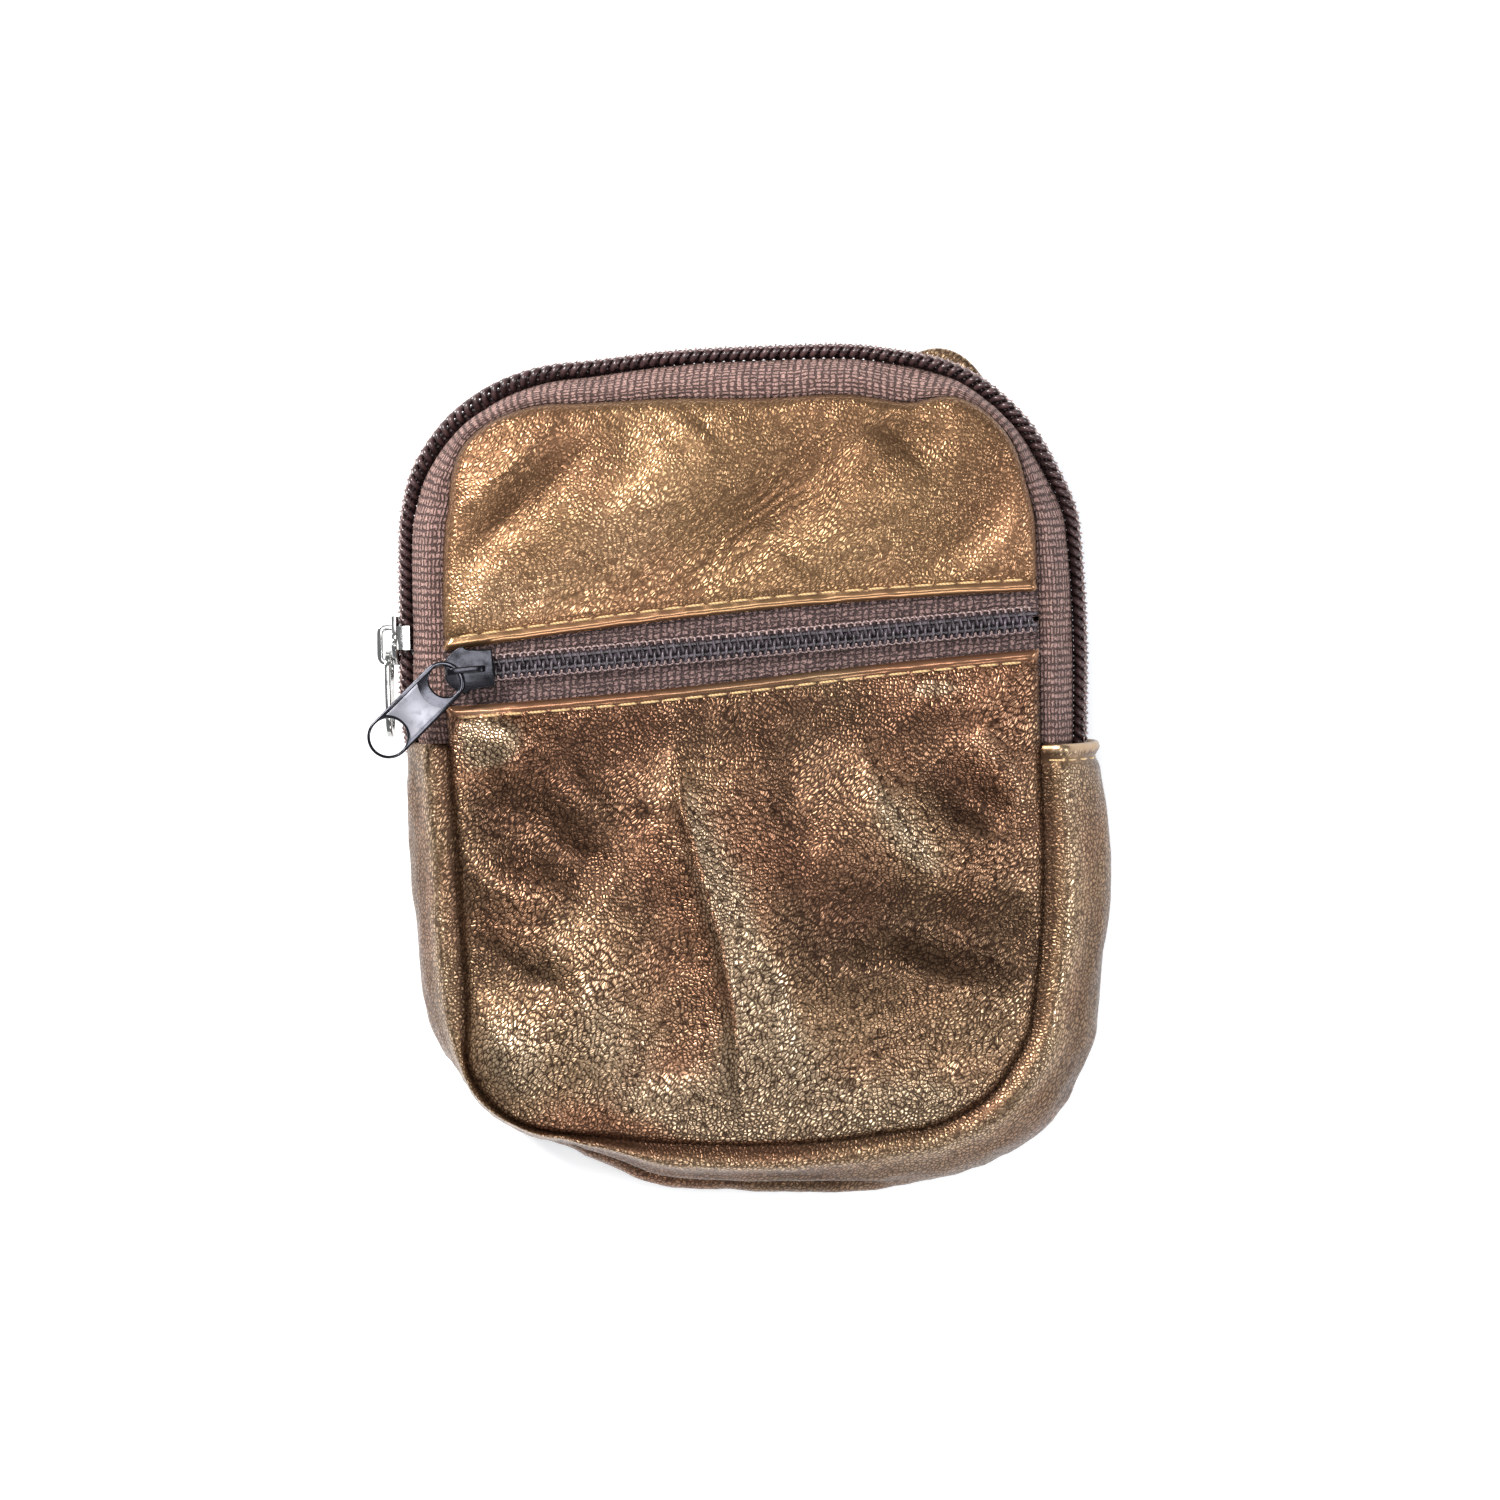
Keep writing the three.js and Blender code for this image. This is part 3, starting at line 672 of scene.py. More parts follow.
def make_wall():
    """The leather wall, its lining, and the main zip's two tapes."""
    low = side_t(ZIP_END_Y, False)
    high = side_t(ZIP_END_Y, True)
    t, length = even_t(high, low + 8, 0.8)
    ends = np.array([0.0, 0.004, 0.012])
    t = np.concatenate([t[0] + ends, t[2:-2], t[-1] - ends[::-1]])
    length = np.interp(t, np.linspace(t[0], t[-1], len(t)), np.linspace(0, length[-1], len(t)))
    angles = np.linspace(-96, 97, 50)
    gusset = wall_strip("gusset_leather", t, length, angles, leather_bow, LEATHER, 0.0, gusset_shape, True,
                        gusset_tone)
    lining_angles = np.linspace(-88, 84, 16)
    inner = slice(3, -3)
    lining = wall_strip("gusset_lining_cloth", t[inner], length[inner], lining_angles, lining_bow, 0.4,
                        LEATHER + 0.8)
    zip_t, zip_length = even_t(low - 0.06, high + 0.06, 0.7)
    tapes = {}
    for label, half in (("front", 1), ("back", -1)):
        angles = np.linspace(3.5, 91, 12) * half
        name = f"main_tape_{label}_cloth"
        tapes[label] = wall_strip(name, zip_t, zip_length, angles, zip_bow, TAPE, 0.0, tape_shape)
    return gusset, lining, tapes


def coil_wire(chain, across, out, coil, half, phase):
    """One half of a coil as one wound wire, along a line of chain points with their two directions."""
    run = run_along(chain)
    turns = int(run[-1] / coil["pitch"]) - 1
    per_turn = 14
    turn = np.arange(turns * per_turn + 1) / per_turn
    angle = 2 * math.pi * turn
    place = (turn + 0.5 + phase) * coil["pitch"] + coil["slant"] * np.sin(angle)
    middle, sideways, upward = (at_places(place, run, values) for values in (chain, across, out))
    overlap = 0.35
    flat = np.sign(np.cos(angle)) * np.abs(np.cos(angle)) ** 0.8
    side = half * (coil["width"] / 2 - overlap + coil["width"] / 2 * flat)
    lift = coil["height"] / 2 * (1 + np.sin(angle))
    centre = middle + sideways * side[:, None] + upward * lift[:, None]
    return tube_mesh(centre, unit(np.gradient(middle, axis=0)), coil["wire"], 6)


def main_chain(start, end, lift):
    """The main zip's chain line: its places, and the directions to the front and out of the wall."""
    t, _ = even_t(start, end, 0.5)
    bow = zip_bow(t)
    middle = wall_point(t, 0.0, bow, 0.0, lift)
    further = wall_point(t, 0.0, bow, 0.0, lift + 1)
    out = further - middle
    front = lean(np.array([[0.0, 0.0, 1.0]]))[0]
    front /= np.linalg.norm(front)
    turn = np.radians(round_keys(t, COIL_TURN))[:, None]
    return middle, front * np.cos(turn) + out * np.sin(turn), out * np.cos(turn) - front * np.sin(turn)


def make_coils(zip_name, sides, chain, across, out, coil):
    """Both halves of a zip's coil, half a turn apart, with the thread that sews them on."""
    coils = {}
    for label, half, phase in zip(sides, (1, -1), (0.0, 0.5)):
        wire = coil_wire(chain, across, out, coil, half, phase)
        thread = coil_thread(chain, across * half, out, coil)
        core = coil_core(chain, across * half, out, coil)
        coils[label] = joined_tubes(f"{zip_name}_coil_{label}_turns", [wire, core])
        coils[label + "_thread"] = joined_tubes(f"{zip_name}_coil_{label}_thread", [thread])
    return coils


def make_main_coils():
    start, end = (side_t(ZIP_END_Y - 2.5, right) for right in (False, True))
    chain, front, out = main_chain(start, end, MAIN_COIL_BASE + WIRE_LIFT)
    return make_coils("main", ("front", "back"), chain, front, out, MAIN_COIL)


def coil_core(chain, side, out, coil):
    """The filler cord that the turns are wound round."""
    centre = chain + side * (coil["width"] / 2 - 0.2) + out * coil["height"] / 2
    return tube_mesh(centre, out, coil["height"] / 2 - coil["wire"], 8)


def coil_thread(chain, side, out, coil):
    """The loops of thread that sew a coil to its tape, one to each turn, along its outer edge."""
    run = run_along(chain)
    per_turn = 10
    turn = np.arange(int(run[-1] / coil["pitch"]) * per_turn) / per_turn
    middle, sideways, upward = (at_places(turn * coil["pitch"], run, values) for values in (chain, side, out))
    angle = 2 * math.pi * turn
    forward = unit(np.gradient(middle, axis=0))
    reach = coil["width"] * 0.78 + 0.3 * np.cos(angle)
    sway = 0.34 * np.sin(angle)
    lift = coil["height"] * 0.78 + coil["wire"] - 0.34 * np.cos(angle)
    centre = middle + sideways * reach[:, None] + upward * lift[:, None] + forward * sway[:, None]
    return tube_mesh(centre, upward, THREAD_RADIUS, 5)


# ---------------------------------------------------------------- pocket zip
def pocket_ends():
    """Where the pocket zip's chain meets the seam on the left and on the right."""
    loop = seam_loop(0.6)
    gap = loop[:, 1] - chain_y(loop[:, 0])
    crossing = np.flatnonzero(np.sign(gap) != np.sign(np.roll(gap, -1)))
    return sorted(loop[crossing, 0])


def seam_x(y, right):
    """Where the front seam crosses a height y."""
    loop = seam_loop(-0.1)
    side = loop[((loop[:, 0] > 0) == right) & (np.abs(loop[:, 1]) < 45)]
    side = side[np.argsort(side[:, 1])]
    return np.interp(y, side[:, 1], side[:, 0])


def pocket_tape(label, half):
    """One side of the pocket zip's tape, from beside the chain to under its lip."""
    share = np.linspace(0, 1, 260)
    coil_side, hidden_side = 0.35, 9.5
    reach = np.linspace(coil_side, hidden_side, 14)
    across = POCKET[2]
    rows = []
    for step in reach:
        shift_x, shift_y = across[0] * step * half, across[1] * step * half
        left, right = (seam_x(chain_y(x) + shift_y, x > 0) for x in pocket_ends())
        x = left + (right - left) * share
        rows.append(np.stack([x, chain_y(x - shift_x) + shift_y, x * 0, x * 0 + step], -1))
    grid = np.stack(rows, axis=1)
    xx, rr = grid[..., 0], grid[..., 3]
    ripple = fractal(np.stack([xx, rr * 0.6, rr * 0], -1), 7, 41 + half) * smooth_step(rr / 5)
    z = POCKET_TAPE_TOP + 0.12 * ripple - 0.35 * smooth_step((rr - 6) / 3)
    outer = np.stack([xx, grid[..., 1], z], -1)
    inner = outer - np.array([0, 0, TAPE])
    return shell(f"pocket_tape_{label}_cloth", outer, inner, np.stack([xx * POCKET[1][0], rr], -1))


def make_pocket_coils():
    left, right = pocket_ends()
    x = np.linspace(left - 0.4, right + 0.4, 400)
    chain = np.column_stack([x, chain_y(x), np.full(len(x), POCKET_TAPE_TOP + WIRE_LIFT)])
    across = np.broadcast_to(POCKET[2], chain.shape)
    out = np.broadcast_to(POCKET[3], chain.shape)
    return make_coils("pocket", ("upper", "lower"), chain, across, out, POCKET_COIL)


# ---------------------------------------------------------------- stitches
def stitch_row(name, line, out, radius=STITCH["radius"], length=STITCH["length"], gap=STITCH["gap"]):
    """A row of separate stitches on a line of surface points, each sunk into the leather at its ends."""
    reach = run_along(line)
    steps = 7
    tubes = []
    start = gap
    while start + length < reach[-1]:
        place = np.linspace(start, start + length, steps)
        centre = at_places(place, reach, line)
        up = at_places(place, reach, out)
        arch = np.sin(np.linspace(0, math.pi, steps))
        centre = centre + up * (0.25 * arch - 0.1)[:, None]
        thickness = radius * (0.55 + 0.45 * arch**0.5)
        tubes.append(tube_mesh(centre, up, thickness, 6))
        start += length + gap + rng.uniform(-0.1, 0.15)
    return joined_tubes(name, tubes)


def surface_heights(obj, flat):
    """Heights of an object's top face over places in the XY plane, in millimetres."""
    bpy.context.view_layer.update()
    inverse = obj.matrix_world.inverted()
    heights = []
    for x, y in flat:
        start = inverse @ Vector((x * MM, y * MM, 0.2))
        hit, place, _, _ = obj.ray_cast(start, Vector((0, 0, -1)))
        heights.append(place.z / MM if hit else FRONT_TOP)
    return np.array(heights)


def lip_stitches(label, obj, lip, direction):
    """The row of stitches along one lip of the pocket."""
    left, right = pocket_ends()
    x = np.linspace(left + 1.2, right - 1.2, 200)
    y = lip(x) + direction * LIP_STITCH_IN
    line = np.column_stack([x, y, surface_heights(obj, np.column_stack([x, y]))])
    return stitch_row(f"pocket_stitch_{label}_thread", line, np.tile([0, 0, 1.0], (len(x), 1)))


def hem_stitches(label, right):
    """The row of stitches across one hemmed end of the wall's leather."""
    t = side_t(ZIP_END_Y - HEM_STITCH_IN, right)
    degrees = np.linspace(86, -70, 60)
    tt = np.full(len(degrees), t)
    bow = leather_bow(tt)
    extra, puff = gusset_shape(tt, degrees)
    line = wall_point(tt, degrees, bow, 0, extra, puff)
    above = wall_point(tt, degrees, bow, -1, extra, puff)
    return stitch_row(f"hem_stitch_{label}_thread", line, above - line, 0.17, 2.6)


# ---------------------------------------------------------------- back panel and linings
def flat_sheet(name, inset, bottom, top, bulge=None, flare=0.0):
    """A sheet inside the seam line with a rounded edge. `bulge` gives its rise at places in its plane."""
    t = np.linspace(0, 8, 420, endpoint=False)
    place, out = seam(t)
    if flare:
        place = place + out * (flare * np.exp(-((t - BACK_FLARE_T) / 0.27) ** 2))[:, None]
    steps = [0, 0.15, 0.4, 0.8, 1.5, 3, 6, 10, 16, 24, 34, 44]
    rounding, last_inset, to_middle = 0.8, 10, 46.0
    middle = (bottom + top) / 2
    rings_top, rings_low = [], []
    for step in steps:
        ring = place * (1 - step / to_middle) if step > last_inset else place - out * (inset + step)
        round_off = math.sqrt(max(0.0, 1 - (1 - min(1, step / rounding)) ** 2))
        lift = 0.0 if bulge is None else bulge(ring)
        half = (top - bottom) / 2 * round_off
        rings_top.append(np.column_stack([ring, np.full(len(t), middle + half) + lift]))
        rings_low.append(np.column_stack([ring, np.full(len(t), middle - half) + lift]))
    around = len(t)
    points = np.vstack(rings_top + rings_low[1:])
    faces = []
    count = len(steps)
    for ring in range(count - 1):
        for i in range(around):
            j = (i + 1) % around
            a, b = ring * around, (ring + 1) * around
            faces.append((a + i, a + j, b + j, b + i))
            c = 0 if ring == 0 else (count + ring - 1) * around
            d = (count + ring) * around
            faces.append((d + i, d + j, c + j, c + i))
    faces.append(tuple((count - 1) * around + i for i in range(around)))
    faces.append(tuple((2 * count - 2) * around + i for i in range(around))[::-1])
    marks = {"tone": np.full(len(points), 0.8), "plain": np.zeros(len(points))}
    return build(name, lean(points), faces, None, marks)


def pocket_sag(flat):
    """The pocket's lining hangs down into the pouch, most in its middle."""
    across = 1 - np.clip(np.abs(flat[:, 0]) / SEAM_HALF_WIDTH, 0, 1) ** 6
    along = 1 - np.clip(np.abs(flat[:, 1]) / SEAM_HALF_HEIGHT, 0, 1) ** 6
    deepest = 4.5
    return -deepest * across * along


def flat_size(obj):
    """Width, length and area in metres of a lining, taken from its finished mesh and not from a cut. A flat
    one is measured by its box. The wall's has its area, and the run of a line a little out from the seam."""
    area = sum(face.area for face in obj.data.polygons) / 2
    places = [vertex.co for vertex in obj.data.vertices]
    low, high = (Vector(pick(place[i] for place in places) for i in range(3)) for pick in (min, max))
    size = high - low
    tallest_flat, run_reach = 8 * MM, 6.0
    if size.z > tallest_flat:
        t = np.linspace(side_t(ZIP_END_Y, True), 8 + side_t(ZIP_END_Y, False), 200)
        middle = wall_point(t, 0.0, run_reach)
        length = np.linalg.norm(np.diff(middle, axis=0), axis=1).sum() * MM
        return area / length, length, None
    return size.x, size.y, area


# ---------------------------------------------------------------- hardware
def curve_points(start, pieces, steps=8):
    """Points of an outline made of straight and quadratic pieces."""
    points = [np.array(start, float)]
    for piece in pieces:
        if len(piece) == 1:
            points.append(np.array(piece[0], float))
            continue
        control, end = np.array(piece[0], float), np.array(piece[1], float)
        begin = points[-1]
        for i in range(1, steps + 1):
            f = i / steps
            points.append((1 - f) ** 2 * begin + 2 * f * (1 - f) * control + f**2 * end)
    return np.array(points)


def oval(centre, half_x, half_y, count=48):
    angle = np.arange(count) * 2 * math.pi / count
    return np.column_stack([centre[0] + half_x * np.cos(angle), centre[1] + half_y * np.sin(angle)])


def stadium(near, far, radius, count=24):
    first = np.linspace(math.pi / 2, 1.5 * math.pi, count)
    second = np.linspace(-math.pi / 2, math.pi / 2, count)
    a = np.column_stack([near + radius * np.cos(first), radius * np.sin(first)])
    b = np.column_stack([far + radius * np.cos(second), radius * np.sin(second)])
    return np.vstack([a, b])


def solid_plate(name, loops, low, high, bevel, matrix, segments=2):
    """A plate with rounded edges from closed outlines, the first one outside and the others holes."""
    curve = bpy.data.curves.new(name, "CURVE")
    curve.dimensions = "2D"
    curve.fill_mode = "BOTH"
    curve.extrude = (high - low) / 2 - bevel
    curve.bevel_depth = bevel
    curve.bevel_resolution = segments
    curve.offset = -bevel
    for loop in loops:
        spline = curve.splines.new("POLY")
        spline.points.add(len(loop) - 1)
        for point, (x, y) in zip(spline.points, loop):
            point.co = (x, y, 0, 1)
        spline.use_cyclic_u = True
    holder = bpy.data.objects.new(name + "_curve", curve)
    bpy.context.scene.collection.objects.link(holder)
    bpy.context.view_layer.update()
    made = bpy.data.meshes.new_from_object(holder.evaluated_get(bpy.context.evaluated_depsgraph_get()))
    bpy.data.objects.remove(holder)
    bpy.data.curves.remove(curve)
    work = bmesh.new()
    work.from_mesh(made)
    bmesh.ops.remove_doubles(work, verts=work.verts, dist=0.002)
    bmesh.ops.translate(work, verts=work.verts, vec=(0, 0, (low + high) / 2))
    bmesh.ops.recalc_face_normals(work, faces=work.faces)
    work.to_mesh(made)
    work.free()
    made.name = name
    made.transform(matrix)
    return link(name, made)


def slider_matrix(axes):
    """From millimetres on a slider's own axes to the row's frame in metres."""
    origin, along, across, out = axes
    matrix = Matrix([[along[i], across[i], out[i], origin[i]] for i in range(3)] + [[0, 0, 0, 1]])
    return Matrix.Scale(MM, 4) @ matrix


def merge(name, objects):
    """Joins meshes into one object, each shape still closed."""
    work = bmesh.new()
    for obj in objects:
        work.from_mesh(obj.data)
        bpy.data.objects.remove(obj)
    mesh = bpy.data.meshes.new(name)
    work.to_mesh(mesh)
    work.free()
    return link(name, mesh)


def smooth_by_angle(obj, degrees=38):
    """Smooth shading, with edges sharper than `degrees` left hard."""
    obj.data.polygons.foreach_set("use_smooth", [True] * len(obj.data.polygons))
    work = bmesh.new()
    work.from_mesh(obj.data)
    for edge in work.edges:
        if len(edge.link_faces) == 2 and edge.calc_face_angle() > math.radians(degrees):
            edge.smooth = False
    work.to_mesh(obj.data)
    work.free()


def plate_outline(length, wing, nose):
    """A slider plate seen from above: a narrow square end, then two wings that taper to a blunt one."""
    half = length / 2
    upper = [
        ((half, nose),), ((half - 1.9, nose - 0.1), (0.7, nose + 0.2)), ((-0.1, wing - 0.7), (-0.6, wing)),
        ((-1.1, wing + 0.1), (-1.7, wing - 0.3)), ((-half + 0.5, wing - 1.3), (-half, 1.2)),
    ]
    lower = [
        ((-half, -1.2),), ((-half + 0.5, 1.3 - wing), (-1.7, 0.3 - wing)),
        ((-1.1, -wing - 0.1), (-0.6, -wing)),
        ((-0.1, 0.7 - wing), (0.7, -nose - 0.2)), ((half - 1.9, 0.1 - nose), (half, -nose)),
    ]
    return curve_points((half, -nose), upper + lower)


def make_slider(name, axes, coil_height, channel, below):
    """A slider's two plates, the walls between them and the post that parts the zip."""
    matrix = slider_matrix(axes)
    top = coil_height + 2 * GAP
    nose = channel + 0.6
    plates = [
        solid_plate("top", [plate_outline(7.8, channel + 1.4, nose)], top, top + PLATE, 0.22, matrix, 3),
        solid_plate("low", [plate_outline(6.8, nose + 0.3, nose)], -below - PLATE, -below, 0.2, matrix),
    ]
    for side in (1, -1):
        box = [(-1.5, side * channel), (2.3, side * channel), (2.3, side * nose), (-1.5, side * nose)]
        plates.append(solid_plate("wall", [np.array(box)], GAP, top + 0.3, 0.1, matrix))
    post = oval((-2.2, 0), 0.95, 0.3, 20)
    plates.append(solid_plate("post", [post], -below - 0.3, top + 0.3, 0.05, matrix))
    return merge(f"{name}_slider_shell", plates)


def make_bridge(name, axes, plate_top, width, back=2.6, tip=-3.8, clear=1.9, thickness=0.9):
    """The arched strip over a slider, rounded on every edge."""
    top = clear + thickness
    outline = curve_points((back, 0.0), [
        ((back, top - 1.3),), ((back, top), (back - 1.5, top)), ((tip + 1.7, top + 0.05),),
        ((tip, top), (tip, top - 1.5)), ((tip, GAP),), ((tip + 0.6, GAP),),
        ((tip + 0.6, clear), (tip + 1.3, clear)), ((back - thickness - 0.6, clear),),
        ((back - thickness, clear), (back - thickness, clear - 0.8)), ((back - thickness, 0.0),),
    ])
    origin, along, across, out = axes
    turned = (origin + out * plate_top, along, out, -across)
    return solid_plate(f"{name}_slider_arch", [outline], -width / 2, width / 2, 0.2, slider_matrix(turned), 3)


def make_pocket_pull():
    """The pocket pull's rim, with an eye for the bridge and a hole at its far end. Also gives its place."""
    axis = np.array(JOINTS["pocket_pull_lift"]["axis"])
    heading = np.cross([0, 0, 1.0], axis)
    out = np.array([0, 0, 1.0])
    across = np.cross(out, heading)
    bar = np.array(JOINTS["pocket_pull_lift"]["pos_m"]) / MM - across * 0.3
    matrix = slider_matrix((bar, heading, across, out))
    width, length = 3.45, 19.0
    near, far = width - 0.4, length - 0.4 - width
    eye, hole = oval((2.7, 0), 2.3, 2.6), oval((far, 0), 2.95, 2.95)
    rim = solid_plate("rim", [stadium(near, far, width), eye, hole], -0.5, 0.5, 0.28, matrix, 3)
    return merge("pocket_pull_plate", [rim]), (matrix, far)


def make_pull_faces(matrix, far):
    """The satin panels let into both faces of the pocket pull, between its two holes."""
    half = 2.75
    faces = []
    for low, high in ((0.42, 0.56), (-0.56, -0.42)):
        left = [(6.0 + 0.9 * (1 - (y / half) ** 2), y) for y in np.linspace(-half, half, 14)]
        right = [(far - 3.35 * math.sqrt(1 - (y / 3.6) ** 2), y) for y in np.linspace(half, -half, 14)]
        outline = np.array(left + right)
        faces.append(solid_plate("inset", [outline], low, high, 0.05, matrix, 1))
    return merge("pocket_pull_faces", faces)


def make_main_pull():
    """The main pull: a plate with an eye for the bridge and a small hole at its far end."""
    along = np.array(JOINTS["main_slider_run"]["axis"])
    across = np.array(JOINTS["main_pull_swing"]["axis"])
    out = np.cross(along, across)
    bar = np.array(JOINTS["main_pull_swing"]["pos_m"]) / MM
    matrix = slider_matrix((bar, -along, -across, out))
    near, far = 2.5, 14 - 0.4 - 2.9
    loops = [stadium(near, far, 2.85), oval((2.5, 0), 2.1, 2.1), oval((far, 0), 1.6, 1.6)]
    return merge("main_pull_plate", [solid_plate("rim", loops, -0.45, 0.45, 0.2, matrix, 3)])


# ---------------------------------------------------------------- materials
class Graph:
    """A small helper that adds nodes to a material and wires them."""

    def __init__(self, name):
        self.material = bpy.data.materials.new(name)
        self.material.use_nodes = True
        self.tree = self.material.node_tree
        self.shader = next(n for n in self.tree.nodes if n.type == "BSDF_PRINCIPLED")

    def node(self, kind, settings=(), **inputs):
        made = self.tree.nodes.new("ShaderNode" + kind)
        for key, value in dict(settings).items():
            setattr(made, key, value)
        for key, value in inputs.items():
            self.feed(made.inputs[int(key[1:]) if key[0] == "i" and key[1:].isdigit() else key], value)
        return made

    def feed(self, socket, value):
        if isinstance(value, bpy.types.NodeSocket):
            self.tree.links.new(value, socket)
        else:
            socket.default_value = value

    def math(self, operation, a, b=0.0, c=0.0):
        return self.node("Math", {"operation": operation}, i0=a, i1=b, i2=c).outputs[0]

    def mix(self, factor, a, b):
        made = self.node("Mix", {"data_type": "RGBA"}, i0=factor, i6=a, i7=b)
        return made.outputs[2]

    def ramp(self, value, low, high, out_low=0.0, out_high=1.0):
        made = self.node("MapRange", {"interpolation_type": "SMOOTHSTEP"}, i0=value, i1=low, i2=high,
                         i3=out_low, i4=out_high)
        return made.outputs[0]

    def noise(self, where, scale, detail=3.0, roughness=0.55):
        made = self.node("TexNoise", (), Vector=where, Scale=scale, Detail=detail, Roughness=roughness)
        return made.outputs[0]

    def bump(self, height, distance, strength=1.0):
        return self.node("Bump", (), Height=height, Distance=distance, Strength=strength).outputs[0]

    def set(self, **inputs):
        names = {"color": "Base Color", "rough": "Roughness", "metal": "Metallic", "normal": "Normal",
                 "sheen": "Sheen Weight",
                 "sheen_rough": "Sheen Roughness", "specular": "Specular IOR Level"}
        for key, value in inputs.items():
            self.feed(self.shader.inputs[names[key]], value)
        return self.material


def rgb(r, g, b):
    return (r, g, b, 1.0)


def object_place(graph):
    return graph.node("TexCoord").outputs["Object"]


def warped(graph, where, scale, amount):
    """Places pushed about by noise, so that a pattern loses its regular look."""
    push = graph.node("TexNoise", (), Vector=where, Scale=scale, Detail=2.0).outputs["Color"]
    centred = graph.node("VectorMath", {"operation": "SUBTRACT"}, i0=push, i1=(0.5, 0.5, 0.5)).outputs[0]
    scaled = graph.node("VectorMath", {"operation": "SCALE"}, i0=centred, Scale=amount).outputs[0]
    return graph.node("VectorMath", {"operation": "ADD"}, i0=where, i1=scaled).outputs[0]


def pebbles(g, where, scale):
    """Distance in from the fine lines between rounded cells, in cell sizes."""
    made = g.node("TexVoronoi", {"feature": "DISTANCE_TO_EDGE"}, Vector=where, Scale=scale, Randomness=0.85)
    return made.outputs["Distance"]


def leather(name, copper, gold, painted_highlight, shade, glint, contrast, relief):
    """Bronze foil on pebbled grain: dark lines between small rounded cells, which are drawn out in places."""
    g = Graph(name)
    where = object_place(g)
    bent = warped(g, where, 260.0, 0.0012)
    turned = g.node("Mapping", (), i0=bent, i2=(0.0, 0.0, -0.9)).outputs[0]
    stretched = g.node("Mapping", (), i0=turned, i3=(0.6, 1.2, 1.0)).outputs[0]
    round_cell = pebbles(g, bent, PEBBLES_PER_METRE)
    long_cell = pebbles(g, stretched, PEBBLES_PER_METRE)
    drawn = g.ramp(g.noise(where, 48.0, 2.0), 0.44, 0.58)
    cell = g.node("Mix", (), i0=drawn, i2=round_cell, i3=long_cell).outputs[0]
    uneven = g.noise(where, 800.0, 2.0)
    plain = g.node("Attribute", {"attribute_name": "plain"}).outputs["Fac"]
    grainy = g.math("SUBTRACT", 1.0, plain)
    line = g.ramp(cell, 0.01, 0.24)
    dome = g.ramp(g.math("ADD", cell, g.math("MULTIPLY", uneven, 0.12)), 0.03, 0.42)
    patches = g.ramp(g.noise(where, 34.0, 2.0), 0.36, 0.64)
    tone = g.node("Attribute", {"attribute_name": "tone"}).outputs["Fac"]
    # Painted highlight: where the tone is bright, the foil turns towards a pale highlight colour.
    foil = g.mix(g.ramp(tone, 0.6, 1.0, 0.0, 0.85), g.mix(patches, copper, gold), painted_highlight)
    cover = g.math("MAXIMUM", g.math("ADD", g.math("MULTIPLY", line, contrast), 1.0 - contrast), plain)
    # Painted glint: the glint colour is laid on the pebbles' crowns, stronger where the tone is bright.
    crown = g.math("MULTIPLY", g.ramp(dome, 0.72, 1.0), g.ramp(uneven, 0.22, 0.52))
    shine = g.math("MULTIPLY", g.math("MULTIPLY", crown, grainy), g.ramp(tone, 0.2, 1.0, 0.08, 0.5))
    lit = g.mix(shine, g.mix(cover, shade, foil), glint)
    # Painted shade: where the tone is low, the colour falls to this darker mix of the grain and shade
    # colours.
    deep = g.mix(g.math("MULTIPLY", cover, 0.26), shade, foil)
    colour = g.mix(g.ramp(tone, 0.0, 0.95), deep, lit)
    grain = g.bump(g.math("MULTIPLY", dome, grainy), relief, 1.0)
    rough = g.math("ADD", g.ramp(cover, 0.2, 1.0, 0.42, 0.28), g.math("MULTIPLY", shine, -0.05))
    return g.set(color=colour, rough=rough, metal=0.85, normal=grain)


